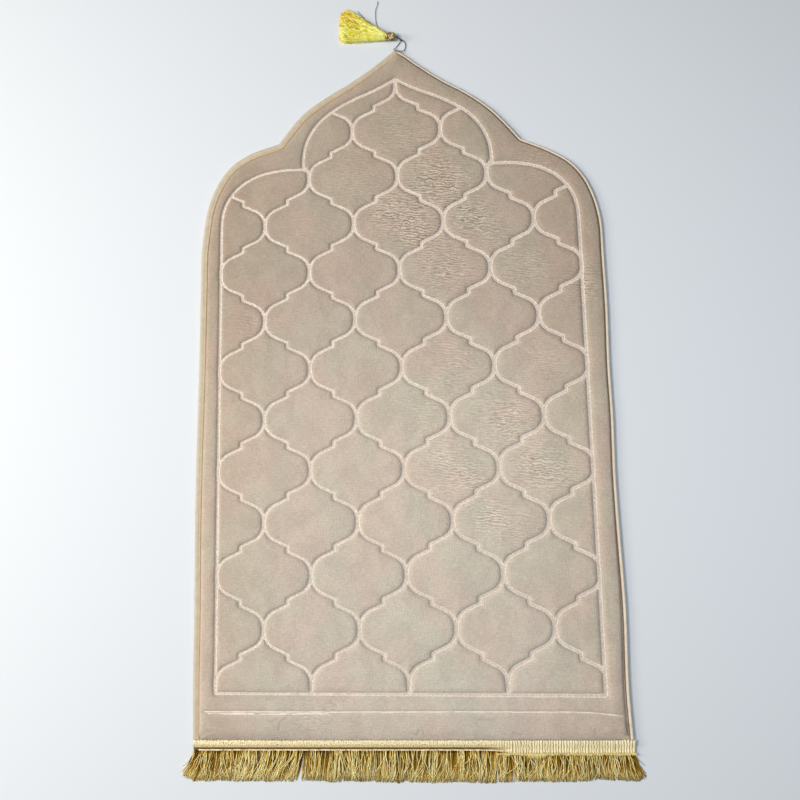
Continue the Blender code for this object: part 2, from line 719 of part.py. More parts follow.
def make_wrap(material):
    """The wound thread round the tassel's neck: a ring with a ridge for each turn."""
    bore = NECK_RADIUS + CLEARANCE
    turn = (WRAP_RIGHT_X - WRAP_LEFT_X) / WRAP_TURNS
    profile = [(WRAP_LEFT_X, bore), (WRAP_LEFT_X, WRAP_RADIUS - RIDGE)]
    for i in range(WRAP_TURNS):
        profile.append((WRAP_LEFT_X + turn * (i + 0.5), WRAP_RADIUS))
        profile.append((WRAP_LEFT_X + turn * (i + 1), WRAP_RADIUS - RIDGE))
    profile.append((WRAP_RIGHT_X, bore))
    points, faces = [], []
    count = len(profile)
    for side in range(WRAP_SIDES):
        angle = 2 * math.pi * (side + 0.5) / WRAP_SIDES
        for x, radius in profile:
            y = TASSEL_Y + radius * math.cos(angle)
            points.append((x, y, WRAP_RADIUS + radius * math.sin(angle)))
    for side in range(WRAP_SIDES):
        a, b = side * count, (side + 1) % WRAP_SIDES * count
        for i, j in loop_edges(0, count):
            faces.append((a + i, a + j, b + j, b + i))
    return mesh_object("tassel_wrap", points, faces, material)


def make_thread(name, route, radius, material, step=THREAD_STEP, swell=None):
    """A round thread along a smooth route. swell takes a place along it, 0 to 1, and gives the thickness there."""
    curve = bpy.data.curves.new(name, "CURVE")
    curve.dimensions = "3D"
    curve.bevel_depth = radius
    curve.bevel_resolution = 2
    curve.use_fill_caps = True
    route = smooth_curve(route, step)
    spline = curve.splines.new("POLY")
    spline.points.add(len(route) - 1)
    for i, (point, place) in enumerate(zip(spline.points, route)):
        point.co = (*place, 1)
        point.radius = swell(i / (len(route) - 1)) if swell else 1
    curve.materials.append(material)
    obj = bpy.data.objects.new(name, curve)
    bpy.context.scene.collection.objects.link(obj)
    return obj


def knot_swell(share):
    """A slim shank that ends in a round knot."""
    knot = max(0.0, (share - 0.62) / 0.38)
    return 1 + (KNOT_RADIUS / LOOP_RADIUS - 1) * math.sqrt(math.sin(math.pi * min(knot, 0.97)))


def main():
    for obj in list(bpy.data.objects):
        bpy.data.objects.remove(obj)
    plush = add_material("taupe plush", "#BCAC9A", 0.9, sheen=0.4)
    tape = add_material("golden tan binding", "#D9C49C", 0.7)
    rayon = add_material("old gold rayon", "#B2913C", 0.45)
    yellow = add_material("lemon yellow yarn", "#F0DC45", 0.55)
    wound = add_material("brown and gold thread", "#8A6A2C", 0.5)
    dark = add_material("dark green thread", "#3B423E", 0.7)
    make_mat(plush)
    make_binding(tape)
    make_fringe(rayon)
    make_tassel(yellow)
    make_wrap(wound)
    make_thread("tassel_knot", SHANK_ROUTE, LOOP_RADIUS, dark, SHANK_STEP, knot_swell)
    make_thread("hanging_loop", LOOP_ROUTE, LOOP_RADIUS, dark)
    make_thread("thread_end_side", END_SIDE_ROUTE, END_RADIUS, dark)
    make_thread("thread_end_up", END_UP_ROUTE, END_RADIUS, dark)
    for obj in bpy.data.objects:
        if obj.type == "MESH":
            obj.data.shade_smooth()
            obj.data.set_sharp_from_angle(angle=math.radians(35))


main()
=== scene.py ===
# %% [markdown]
# # A padded prayer rug, seen from above
#
# The real rug is soft and simple: short plush over thin wadding, a pattern of lines pressed into it with heat, a
# strip of cloth folded round the edge, a bought fringe along the foot, and a tassel tied to the tip. This lesson
# dresses a plain solid model of it. The solid gives the sizes, and everything that the eye judges (pile, seams,
# threads, dye) is made here.

import math
from functools import partial

import bmesh
import bpy
import numpy as np
from mathutils import Matrix, Vector, noise
from mathutils.geometry import delaunay_2d_cdt
from mathutils.kdtree import KDTree


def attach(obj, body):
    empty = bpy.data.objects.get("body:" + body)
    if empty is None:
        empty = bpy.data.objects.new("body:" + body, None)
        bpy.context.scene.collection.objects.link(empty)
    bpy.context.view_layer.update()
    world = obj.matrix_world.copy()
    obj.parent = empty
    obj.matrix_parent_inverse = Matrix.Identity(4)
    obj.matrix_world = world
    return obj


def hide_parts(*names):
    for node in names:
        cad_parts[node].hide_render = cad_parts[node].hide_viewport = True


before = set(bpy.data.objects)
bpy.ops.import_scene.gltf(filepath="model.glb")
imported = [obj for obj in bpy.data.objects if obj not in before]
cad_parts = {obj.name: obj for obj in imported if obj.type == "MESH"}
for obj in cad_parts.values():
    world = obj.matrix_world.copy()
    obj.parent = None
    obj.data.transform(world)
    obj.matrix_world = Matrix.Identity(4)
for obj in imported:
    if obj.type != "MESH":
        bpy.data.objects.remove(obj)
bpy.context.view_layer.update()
rng = np.random.default_rng(27)
print("nodes:", sorted(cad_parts))

# %% [markdown]
# ## Colours and nodes
#
# A colour picked from a photograph is an sRGB value, and Blender mixes light in linear values, so each hex colour
# goes through one function. Materials are built from nodes. Written out in full they are long, so one small
# function adds a node, sets what it is given, joins its inputs and hands back its output for the next node.

# %% Helpers for materials


def linear(hex_colour):
    """An sRGB hex colour as linear red, green, blue and a full alpha."""
    channels = [int(hex_colour[i : i + 2], 16) / 255 for i in (1, 3, 5)]
    return (*[((c + 0.055) / 1.055) ** 2.4 if c > 0.04045 else c / 12.92 for c in channels], 1.0)


def fill(node, *inputs, **settings):
    """Sets a node's properties, then its inputs, in their order or by name with _ for a space."""
    for name in [name for name in settings if hasattr(node, name)]:
        setattr(node, name, settings.pop(name))
    in_use = [socket for socket in node.inputs if socket.enabled]
    named = {socket.name.replace(" ", "_"): socket for socket in in_use}
    for socket, value in [*zip(in_use, inputs), *((named[name], value) for name, value in settings.items())]:
        if isinstance(value, bpy.types.NodeSocket):
            node.id_data.links.new(value, socket)
        else:
            socket.default_value = linear(value) if isinstance(value, str) else value


def add_node(tree, kind, *inputs, stops=(), out=None, **settings):
    """Adds a node and returns one output: the named one, or Fac if there is one, or the first in use."""
    node = tree.nodes.new("ShaderNode" + kind)
    for place, (position, colour) in enumerate(stops):
        ramp = node.color_ramp.elements
        stop = ramp[place] if place < len(ramp) else ramp.new(position)
        stop.position, stop.color = position, linear(colour)
    fill(node, *inputs, **settings)
    return node.outputs[out] if out else node.outputs.get("Fac") or next(s for s in node.outputs if s.enabled)


def new_material(name, **settings):
    """A material, its Principled shader with these settings, and the function that adds a node to it."""
    material = bpy.data.materials.new(name)
    material.use_nodes = True
    shader = material.node_tree.nodes["Principled BSDF"]
    fill(shader, **settings)
    return material, shader, partial(add_node, material.node_tree)


# %% [markdown]
# ## Camera
#
# The picture was taken by hand from about 1.1 m above the rug, a little towards its foot. That makes the foot
# look wider than the shoulders. A camera is placed by where it stands and by which way its right and its top
# point, because those are what matching the corners of the pattern gives.

# %% The camera
CAMERA_PLACE = Vector((-0.0014, -0.1517, 1.1061))
CAMERA_RIGHT = Vector((0.99872, -0.01730, -0.04752))
CAMERA_TOP = Vector((0.02374, 0.99009, 0.13844))
LENS_MM = 31.5  # on a 36 mm wide sensor
SHIFT = (0.0380, -0.0368)  # the picture was trimmed a little more on one side than on the other

camera = bpy.data.objects.new("camera", bpy.data.cameras.new("camera"))
camera.data.lens = LENS_MM
camera.data.sensor_width = 36
camera.data.shift_x, camera.data.shift_y = SHIFT
turn = Matrix((CAMERA_RIGHT, CAMERA_TOP, CAMERA_RIGHT.cross(CAMERA_TOP))).transposed()
camera.matrix_world = Matrix.Translation(CAMERA_PLACE) @ turn.to_4x4()
bpy.context.scene.collection.objects.link(camera)
bpy.context.scene.camera = camera
print("camera height:", round(CAMERA_PLACE.z, 3), "m")

# %% [markdown]
# ## The curves that everything follows
#
# The arch, the border and the trellis are the rug's drawing. A smooth curve through a few measured stations is
# enough for the arch. A trellis cell is worked out: each side leaves a junction upright, curls over, and drops a
# small step at its middle.

# %% Curves through stations
MAT_THICKNESS = 0.0095
EDGE_TOP = 0.0042  # the wadding is sewn down to this height along the edge
CLEARANCE = 0.0003
FOOT_Y = -0.5524
TIP = (0.0035, 0.5515)
FOOT_CORNER_X = 0.3243
# The real edge isn't straight: the sides wander by a few millimetres.
RIGHT_SIDE = (
    (FOOT_CORNER_X, FOOT_Y), (0.3225, -0.49), (0.3255, -0.365), (0.3236, -0.24), (0.323, -0.175), (0.3253, -0.075),
    (0.325, 0.0), (0.3275, 0.1), (0.3272, 0.19),
)
RIGHT_SHOULDER = (
    (0.3272, 0.19), (0.3258, 0.2453), (0.3172, 0.2835), (0.3032, 0.3155), (0.2818, 0.3415), (0.2556, 0.359),
    (0.2045, 0.383),
)
RIGHT_ARCH = (
    (0.2045, 0.383), (0.1813, 0.4122), (0.1568, 0.4388), (0.1218, 0.4665), (0.076, 0.495), (0.0352, 0.525), TIP,
)
LEFT_ARCH = (
    TIP, (-0.029, 0.525), (-0.0738, 0.4938), (-0.122, 0.4646), (-0.1559, 0.4389), (-0.1771, 0.4141), (-0.195, 0.3897),
)
LEFT_SHOULDER = (
    (-0.195, 0.3897), (-0.252, 0.3688), (-0.2765, 0.3515), (-0.2968, 0.3235), (-0.312, 0.287), (-0.3195, 0.245),
    (-0.3238, 0.19),
)
LEFT_SIDE = (
    (-0.3238, 0.19), (-0.324, 0.1), (-0.3245, 0.0), (-0.3262, -0.12), (-0.3268, -0.22), (-0.3256, -0.38),
    (-0.3257, -0.46), (-FOOT_CORNER_X, FOOT_Y),
)


def smooth_curve(points, step, start=None, end=None):
    """Points about a step apart on a curve that runs smoothly through the given ones."""
    points = np.array(points, float)
    chords = np.diff(points, axis=0)
    lengths = np.linalg.norm(chords, axis=1)
    headings = chords / lengths[:, None]
    tangents = np.empty_like(points)
    before, after = lengths[:-1, None], lengths[1:, None]
    tangents[1:-1] = (headings[1:] * before + headings[:-1] * after) / (before + after)
    tangents[0] = headings[0] if start is None else start
    tangents[-1] = headings[-1] if end is None else end
    made = [points[:1]]
    for i, length in enumerate(lengths):
        t = (np.arange(max(1, math.ceil(length / step))) + 1)[:, None] / max(1, math.ceil(length / step))
        near = (2 * t**3 - 3 * t**2 + 1) * points[i] + (t**3 - 2 * t**2 + t) * length * tangents[i]
        far = (3 * t**2 - 2 * t**3) * points[i + 1] + (t**3 - t**2) * length * tangents[i + 1]
        made.append(near + far)
    return np.concatenate(made)


def straight(start, end, step):
    """Points about a step apart from start to end, both ends included."""
    start, end = np.array(start, float), np.array(end, float)
    count = max(1, math.ceil(np.linalg.norm(end - start) / step))
    return start + (end - start) * np.arange(count + 1)[:, None] / count


def refined(curve, spacing):
    """Points about so far apart on the straight pieces of a curve, without its last point."""
    return np.concatenate([straight(a, b, spacing)[:-1] for a, b in zip(curve, curve[1:])])


def mat_outline(step):
    """The mat's edge, anticlockwise from the right end of its foot to the left end."""
    stretches = (RIGHT_SIDE, RIGHT_SHOULDER, RIGHT_ARCH, LEFT_ARCH, LEFT_SHOULDER, LEFT_SIDE)
    headings = ((None, (0, 1)), ((0, 1), None), (None, None), (None, None), (None, (0, -1)), ((0, -1), None))
    curves = [smooth_curve(s, step, start=a, end=b) for s, (a, b) in zip(stretches, headings)]
    return np.concatenate([curves[0], *[curve[1:] for curve in curves[1:]]])


outline = mat_outline(0.004)
ends = np.roll(outline, -1, axis=0)

# %% The border and the trellis
CELL_HALF_WIDTH = 0.073
CELL_ROW = 0.0796
TRELLIS_TOP_Y = 0.485
TRELLIS_ROWS = 12
SIDE_COLUMNS = 4
CURL_RADIUS = 0.361  # in cell sizes
CURL_TURN = math.radians(67.3)
STEM_LENGTH = 0.011
BORDER_ARCH = (
    (0.0, 0.496), (0.036, 0.477), (0.07, 0.4625), (0.105, 0.443), (0.126, 0.426), (0.143, 0.403), (0.1525, 0.379),
    (0.156, 0.342),
)
BORDER_SHOULDER = ((0.156, 0.342), (0.195, 0.341), (0.236, 0.331), (0.264, 0.313), (0.283, 0.287), (0.291, 0.242))
BORDER_FOOT = ((-0.292, -0.482), (0.288, -0.487))
CUSP_LINK_END = (0.145, 0.337)
SEAM = ((-0.308, -0.5075), (-0.05, -0.5085), (0.16, -0.509), (0.286, -0.512), (0.311, -0.515))
SEAM_BACK = ((-0.302, -0.5103), (-0.21, -0.5112), (-0.12, -0.5106))  # where the needle ran twice


def border_line(step):
    """The border line, anticlockwise from its right foot, as a closed loop."""
    shoulder = smooth_curve(BORDER_SHOULDER[::-1], step, start=(0, 1))
    right = np.concatenate([shoulder, smooth_curve(BORDER_ARCH[::-1], step)[1:]])
    left = right[-2::-1] * (-1, 1)
    right_side = straight(BORDER_FOOT[1], right[0], step)
    left_side = straight(left[-1], BORDER_FOOT[0], step)
    foot = straight(*BORDER_FOOT, step)
    return np.concatenate([right_side[:-1], right, left[:-1], left_side[:-1], foot])


def trellis_side():
    """One side of a cell, from a junction at (0, 0) down to the next at (1, 1), in cell sizes."""
    turns = np.linspace(0, CURL_TURN, 7)
    curl = np.stack([CURL_RADIUS * (1 - np.cos(turns)), CURL_RADIUS * np.sin(turns)], axis=1)
    rise = (0.5 - curl[-1, 0]) / math.tan(CURL_TURN)
    half = np.concatenate([curl, [(0.5, curl[-1, 1] + rise)]])
    return np.concatenate([half, 1 - half[::-1]])


def inside(points, loop):
    """Which of these points lie inside a closed loop."""
    a, b = loop, np.roll(loop, -1, axis=0)
    x, y = points[:, :1], points[:, 1:]
    spans = (a[:, 1] > y) != (b[:, 1] > y)
    with np.errstate(divide="ignore", invalid="ignore"):
        crossing = a[:, 0] + (y - a[:, 1]) / (b[:, 1] - a[:, 1]) * (b[:, 0] - a[:, 0])
    return np.count_nonzero(spans & (crossing > x), axis=1) % 2 == 1


def pressed_lines():
    """All the lines that are pressed into the plush, as rows of points."""
    border = border_line(0.004)
    shape = trellis_side()
    lines = [border]
    for row in range(TRELLIS_ROWS):
        for column in range(-SIDE_COLUMNS, SIDE_COLUMNS + 1):
            for way in (-1, 1):
                x = (column + way * shape[:, 0]) * CELL_HALF_WIDTH
                y = TRELLIS_TOP_Y - (row + shape[:, 1]) * CELL_ROW
                fine = refined(np.stack([x, y], axis=1), 0.0015)
                fine = fine[inside(fine, border)]
                if (row + column) % 2 == 0 and len(fine) > 1:
                    lines.append(fine)
    lines.append(straight((0, TRELLIS_TOP_Y), (0, TRELLIS_TOP_Y + STEM_LENGTH), 0.002))
    foot_y = TRELLIS_TOP_Y - TRELLIS_ROWS * CELL_ROW
    for column in range(2 - SIDE_COLUMNS, SIDE_COLUMNS, 2):
        x = column * CELL_HALF_WIDTH
        lines.append(straight((x, foot_y), (x, foot_y - STEM_LENGTH), 0.002))
    (cusp_x, cusp_y), (link_x, link_y) = BORDER_ARCH[-1], CUSP_LINK_END
    for way in (-1, 1):
        lines.append(straight((way * cusp_x, cusp_y), (way * link_x, link_y), 0.002))
    return lines


lines = pressed_lines()
seams = [smooth_curve(SEAM, 0.004), smooth_curve(SEAM_BACK, 0.004)]
print("pressed lines:", len(lines))

# %% [markdown]
# ## Small mesh tools
#
# How high the plush stands depends on how far a point is from a line, from the seam and from the edge. A k-d tree
# answers that quickly: fill it with points half a millimetre apart along the lines, then ask it for the nearest.

# %% Distances and meshes


def nearness(curves, spacing=0.0005):
    """A tree of points along these curves, to measure distances to."""
    samples = np.concatenate([*[refined(curve, spacing) for curve in curves], [curve[-1] for curve in curves]])
    tree = KDTree(len(samples))
    for index, (x, y) in enumerate(samples):
        tree.insert((x, y, 0), index)
    tree.balance()
    return tree


def distances(points, tree):
    return np.array([tree.find((x, y, 0))[2] for x, y in points])


def eased(share):
    share = np.clip(share, 0, 1)
    return share * share * (3 - 2 * share)


def gentle(points, size, seed=0):
    """Smooth random numbers from -1 to 1 at these points, with waves about this size in metres."""
    return np.array([noise.noise((x / size, y / size, seed + 0.37)) for x, y in points])


def wavering(places, size, seed=0):
    """The same for places along a line."""
    return gentle(np.column_stack([places, 0 * places]), size, seed)


def waved(base, places, waves):
    """The base with waves added to it, each given by its height, its length and its seed."""
    for height, length, seed in waves:
        base = base + height * wavering(places, length, seed)
    return base


def hill(x, middle, width):
    """A smooth hill that is 1 high at its middle."""
    return np.exp(-(((x - middle) / width) ** 2))


def length_so_far(path):
    """How long a path is up to each of its points."""
    return np.concatenate([[0], np.cumsum(np.linalg.norm(np.diff(path, axis=0), axis=1))])


def leftwards(along):
    """Unit vectors to the left of these directions."""
    return np.column_stack([-along[:, 1], along[:, 0]]) / np.linalg.norm(along, axis=1)[:, None]


def thinned(points, spacing):
    """These points without those that are closer than the spacing to an earlier one."""
    kept, cells = [], {}
    for x, y in points:
        i, j = math.floor(x / spacing), math.floor(y / spacing)
        near = [p for di in (-1, 0, 1) for dj in (-1, 0, 1) for p in cells.get((i + di, j + dj), ())]
        if all((p[0] - x) ** 2 + (p[1] - y) ** 2 > spacing * spacing for p in near):
            kept.append((x, y))
            cells.setdefault((i, j), []).append((x, y))
    return np.array(kept)


def ring_faces(rings, count):
    """Faces of a closed tube whose points come ring by ring, so many to a ring, with its two ends first."""
    faces = [tuple(range(count)), tuple(range(rings * count - 1, (rings - 1) * count - 1, -1))]
    for a in range(0, (rings - 1) * count, count):
        faces += [(a + i, a + (i + 1) % count, a + count + (i + 1) % count, a + count + i) for i in range(count)]
    return faces


def placed(name, data):
    """An object for this mesh or curve, riding on the rug."""
    obj = bpy.data.objects.new(name, data)
    bpy.context.scene.collection.objects.link(obj)
    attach(obj, "root")
    return obj


def mesh_piece(name, points, faces, material, slot, sharp_degrees=180):
    """A smooth shaded object from points and faces."""
    mesh = bpy.data.meshes.new(name)
    mesh.from_pydata([tuple(p) for p in points], [], [tuple(f) for f in faces])
    shape = bmesh.new()
    shape.from_mesh(mesh)
    bmesh.ops.recalc_face_normals(shape, faces=shape.faces)
    shape.to_mesh(mesh)
    shape.free()
    mesh.shade_smooth()
    mesh.set_sharp_from_angle(angle=math.radians(sharp_degrees))
    mesh.materials.append(material)
    return placed(name, mesh)


def paint(obj, **values):
    """Writes one number for each point of the mesh under each name, for the materials to read."""
    for name, numbers in values.items():
        layer = obj.data.attributes.new(name, "FLOAT", "POINT")
        layer.data.foreach_set("value", np.ascontiguousarray(numbers, dtype=np.float32))


# %% [markdown]
# ## Plush
#
# The pile is polyester flannel plush, about 3 mm long, dyed taupe. It has no weave that shows: what the eye gets
# is a soft dark-to-light change where the pile leans another way, a fine grain of fibre tips, and a pale lustre
# where the light grazes it (the sheen). Where the hot plate pressed a line, the fibres lie melted flat and look
# like pale ribbon, with a painted highlight along the two edges of the line. Each point of the mesh knows its
# distance from the nearest line, so one colour ramp can paint the ribbon, its edges and the painted shade beside it.

# %% The plush material
LINE_SPAN_MM = 12.0  # the distances from a line that the ribbon's ramp covers
NAP_SHEEN_AND_SHADE_STOPS = (  # from the foot to the tip
    (0.0, "#C7BAAD"), (0.06, "#CEC3B6"), (0.4, "#CBBEB0"), (0.62, "#BBAC9E"), (0.85, "#B5A595"), (1.0, "#B3A190"),
)
SIDE_SHADE_STOPS = ((0.0, "#EBE6E0"), (0.25, "#F9F8F9"), (0.5, "#FEFFFF"), (0.75, "#FDFDFD"), (1.0, "#F5F0EB"))
RIBBON_RIM_HIGHLIGHT_STOPS = ((0.0, "#D8C9B8"), (0.07, "#DECFBF"), (0.14, "#F1E3D6"), (0.20, "#E6D7C7"))


def plush_material():
    material, shader, add = new_material(
        "taupe flannel plush", Roughness=0.92, Specular_IOR_Level=0.15,
        Sheen_Weight=0.3, Sheen_Roughness=0.5, Sheen_Tint="#F2E6DC",
    )
    place = add("TexCoord", out="Object")
    x, y = (add("SeparateXYZ", place, out=axis) for axis in "XY")

    def stretched(cells, detail=2.0, turn=0.0, distortion=0.0):
        """Noise with so many cells a metre along x and y."""
        scaled = add("Mapping", place, Scale=(*cells, 1.0), Rotation=(0, 0, turn))
        return add("TexNoise", scaled, Scale=1.0, Detail=detail, Roughness=0.6, Distortion=distortion)

    def tinted(colour, amount, stops):
        """The colour, multiplied by a tint that goes with the amount."""
        tint = add("ValToRGB", amount, stops=stops)
        return add("Mix", 1.0, colour, tint, data_type="RGBA", blend_type="MULTIPLY")

    def lit(colour, amount, dimmest, brightest, low, high):
        """The colour made dimmer where the amount is low and brighter where it is high."""
        factor = add("MapRange", amount, low, high, dimmest, brightest)
        return add("VectorMath", colour, factor, operation="SCALE")

    # Painted sheen and shade: the nap leans towards the foot, so the near end is painted lightest for its sheen and
    # the tip darkest, and the two sides are painted a little darker, most of all the left.
    colour = add("ValToRGB", add("MapRange", y, From_Min=-0.56, From_Max=0.56), stops=NAP_SHEEN_AND_SHADE_STOPS)
    colour = tinted(colour, add("MapRange", x, From_Min=-0.33, From_Max=0.33), SIDE_SHADE_STOPS)
    # Brushed patches a hand's breadth across, a little pinker or greener, and smaller darker or lighter ones.
    colour = tinted(colour, stretched((11, 9), 3), ((0.42, "#FFF9F6"), (0.58, "#F9FCF7")))
    colour = lit(colour, stretched((30, 24), 3, 0.3, 0.6), 0.96, 1.04, 0.42, 0.58)
    # Fibre tips clump in streaks 1.5 mm wide and 7 mm long, both down and across the rug.
    streaks = [stretched((640, 140)), stretched((130, 620))]
    for hairs in streaks:
        colour = lit(colour, hairs, 0.955, 1.045, 0.40, 0.60)

    # Where the pile was rubbed against its lean, it stands in short crinkles 3 or 4 mm apart.
    slanted = add("Mapping", place, Scale=(0.6, 1.0, 1.0), Rotation=(0, 0, 0.16))
    waves = add("TexWave", slanted, bands_direction="Y", Scale=76, Distortion=9, Detail=3, Detail_Scale=1.6)
    crinkle = add("Mix", 0.72, waves, stretched((115, 330), 3, 0.18, 0.9))
    ruffle = add("Attribute", attribute_name="ruffle")
    # The crests of the crinkles are painted lighter and their hollows darker: painted highlight and painted shade.
    crinkle_light_and_shade = lit(colour, crinkle, 0.56, 1.50, 0.36, 0.64)
    colour = add("Mix", ruffle, colour, crinkle_light_and_shade, data_type="RGBA")

    # The hairs blur a line's edge by about a millimetre, and the melted ribbon itself is mottled.
    ragged = stretched((330, 330), 3)
    fuzz = add("MapRange", ragged, From_Min=0.25, From_Max=0.75, To_Min=-1.3, To_Max=1.3)
    to_line = add("Math", add("Attribute", attribute_name="line_mm"), fuzz)
    share = add("Math", to_line, LINE_SPAN_MM, operation="DIVIDE")
    # Painted shade beside each line: darker from 2.4 to 4 mm away, fading out by about 11 mm.
    colour = lit(colour, share, 0.93, 1.0, 0.20, 0.34)
    colour = lit(colour, share, 0.95, 1.0, 0.30, 0.95)
    # The ribbon's ramp paints a highlight along its two raised edges, over its own pale colour.
    ribbon = lit(add("ValToRGB", share, stops=RIBBON_RIM_HIGHLIGHT_STOPS), ragged, 0.90, 1.08, 0.42, 0.58)
    ribbon = lit(ribbon, stretched((28, 28), 2), 0.96, 1.03, 0.42, 0.58)
    pressed = add("MapRange", to_line, From_Min=2.75, From_Max=1.85, To_Max=0.92)
    colour = add("Mix", pressed, colour, ribbon, data_type="RGBA")

    # The seam near the foot is a fine pale crease, and along the fold marks the pile is darkened with painted shade.
    sewn = add("MapRange", add("Attribute", attribute_name="seam_mm"), From_Min=1.7, From_Max=0.55, To_Max=0.86)
    sewn = add("Math", sewn, stretched((60, 500), 3), operation="MULTIPLY")
    sewn = add("MapRange", sewn, From_Min=0.26, From_Max=0.42)
    colour = add("Mix", sewn, colour, "#EFE5D8", data_type="RGBA")
    colour = lit(colour, add("Attribute", attribute_name="crease_mm"), 0.88, 1.0, 0.3, 3.2)
    # Against the fringe's heading, shade is painted into the pile as dark specks.
    braid_shade = add("Math", ragged, 0.020, y, operation="MULTIPLY_ADD")
    colour = lit(colour, braid_shade, 0.62, 1.0, -0.5408, -0.5362)

    height = add("Mix", ruffle, add("Math", *streaks), crinkle)
    fill(shader, Base_Color=colour, Normal=add("Bump", Strength=0.6, Distance=0.0012, Height=height))
    return material


def backing_material():
    """Plain woven polyester underneath. Its threads, 0.3 mm apart, are drawn 1.2 mm apart so that they show."""
    material, shader, add = new_material("woven polyester backing", Roughness=0.8, Sheen_Weight=0.1)
    place = add("TexCoord", out="Object")
    threads = [add("TexWave", place, bands_direction=way, Scale=260, Distortion=0.6) for way in "YX"]
    weave = add("Math", *threads, operation="MULTIPLY")
    cloth = add("ValToRGB", weave, stops=((0.1, "#B7A793"), (0.8, "#D3C6B4")))
    fill(shader, Base_Color=cloth, Normal=add("Bump", Strength=0.4, Distance=0.0003, Height=weave))
    return material


plush = plush_material()
print("plush nodes:", len(plush.node_tree.nodes))

# %% [markdown]
# ## The mat
#
# A quilted face could be made by subdividing a grid, but a grid fine enough for a 6 mm line would be wasteful
# between the lines. Here points are laid along the lines, at a few distances on each side, and a loose honeycomb
# fills the pillows. A Delaunay triangulation joins them all. Then each point gets its height.

# %% Points of the face
LINE_STEPS, LINE_SPACING = (0.0, 0.0012, 0.0021, 0.0031, 0.0043, 0.0060), 0.0024
EDGE_STEPS, EDGE_SPACING = (0.0018, 0.0030, 0.0042, 0.0054, 0.0067, 0.0081, 0.0097, 0.0122, 0.0160), 0.004
CREASE_STEPS, CREASE_SPACING = (0.0, 0.0011, 0.0023), 0.0015
PILLOW_SPACING = 0.0052
PILLOW_MARGIN = 0.002  # between the honeycomb and the last row beside a line or the edge
ROW_SLACK = 0.0003  # a row point may come this much nearer to another line
EDGE_MARGIN, CLOSEST = 0.0015, 0.0010


def beside(curves, steps, spacing):
    """Points beside these curves, at each of these distances on both sides, with the distance of each."""
    found, depths = [], []
    for step in steps:
        for curve in curves:
            fine = refined(curve, spacing)
            across = leftwards(np.gradient(fine, axis=0))
            for side in (-1, 1) if step else (1,):
                found.append(fine + across * side * step)
                depths.append(np.full(len(fine), step))
    return np.concatenate(found), np.concatenate(depths)


def honeycomb(spacing):
    """Staggered points over the whole mat."""
    rows = np.arange(FOOT_Y, TIP[1], spacing * math.sqrt(3) / 2)
    columns = np.arange(-0.33, 0.33, spacing)
    x = columns[None] + spacing / 2 * (np.arange(len(rows)) % 2)[:, None]
    return np.stack([x.ravel(), np.repeat(rows, len(columns))], axis=1)


# Short fold marks in the band at the foot, where the rug was bent while it was packed.
CREASES = [
    ((-0.183, -0.5135), (-0.193, -0.523), (-0.196, -0.533)), ((-0.2, -0.519), (-0.208, -0.5225)),
    ((0.008, -0.542), (0.0145, -0.533)), ((0.02, -0.542), (0.0185, -0.533)), ((-0.118, -0.493), (-0.109, -0.499)),
    ((0.134, -0.538), (0.144, -0.542)), ((0.15, -0.537), (0.164, -0.541)), ((0.1, -0.519), (0.126, -0.52)),
    ((0.269, -0.533), (0.271, -0.543)),
]
line_tree, crease_tree, seam_tree = nearness(lines), nearness(CREASES), nearness(seams)
edge_tree = nearness([np.concatenate([outline, outline[:1]])], 0.001)


def face_points():
    """The points of the face, without those of the edge itself."""
    near_lines, depth = beside([*lines, *seams], LINE_STEPS, LINE_SPACING)
    near_lines = near_lines[distances(near_lines, line_tree) > depth - ROW_SLACK]
    near_edge, depth = beside([outline], EDGE_STEPS, EDGE_SPACING)
    near_edge = near_edge[distances(near_edge, edge_tree) > depth - ROW_SLACK]
    near_creases, _ = beside(CREASES, CREASE_STEPS, CREASE_SPACING)
    filling = honeycomb(PILLOW_SPACING)
    for tree, steps in ((line_tree, LINE_STEPS), (edge_tree, EDGE_STEPS)):
        filling = filling[distances(filling, tree) > steps[-1] + PILLOW_MARGIN]
    points = np.concatenate([near_lines, near_edge, near_creases, filling])
    points = np.concatenate([part[inside(part, outline)] for part in np.array_split(points, 40)])
    return thinned(points[distances(points, edge_tree) > EDGE_MARGIN], CLOSEST)


flat_points = face_points()
print("points of the face:", len(flat_points))

# %% Heights of the face
LINE_DEPTH_MM = 2.0
LINE_FLAT_MM = 1.9  # half the width of the melted flat ribbon
LINE_WALL_MM = 5.6
FLARE_MM = 1.0
RIM_MM, RIM_AT_MM, RIM_WIDTH_MM = 0.25, 1.6, 0.6  # the ribbon's edges stand this much over its middle
CROWN_MM, CROWN_REACH_MM = 1.2, 40
SEAM_DEPTH_MM, CREASE_DEPTH_MM, CREASE_WIDTH = 1.6, 0.45, 0.0016
# The side below the face: how far in from the edge each ring of points lies, and how high.
SIDE_RINGS = ((0.0, 0.0029), (0.0, 0.0015), (0.0086, 0.0015), (0.0092, 0.0))
FAR_MM = 30.0  # the distance that the points of the side and the underside are given


def binding_width(x, y):
    """How wide the binding shows, in mm. On the right it was folded further under, most of all round the arch."""
    right = np.interp(y, (-0.55, -0.40, -0.20, 0.20, 0.40, 0.50), (8.0, 7.0, 5.0, 4.4, 3.6, 3.2))
    left = np.interp(y, (-0.55, -0.20, 0.25, 0.45, 0.55), (8.0, 8.6, 9.8, 9.4, 8.0))
    width = right + (left - right) * eased((0.020 - x) / 0.040)
    inboard = eased((FOOT_CORNER_X - np.abs(x) - 0.012) / 0.008) * eased((FOOT_Y + 0.030 - y) / 0.010)
    return width + (4.0 - width) * inboard  # along the foot, only the heading lies on the plush


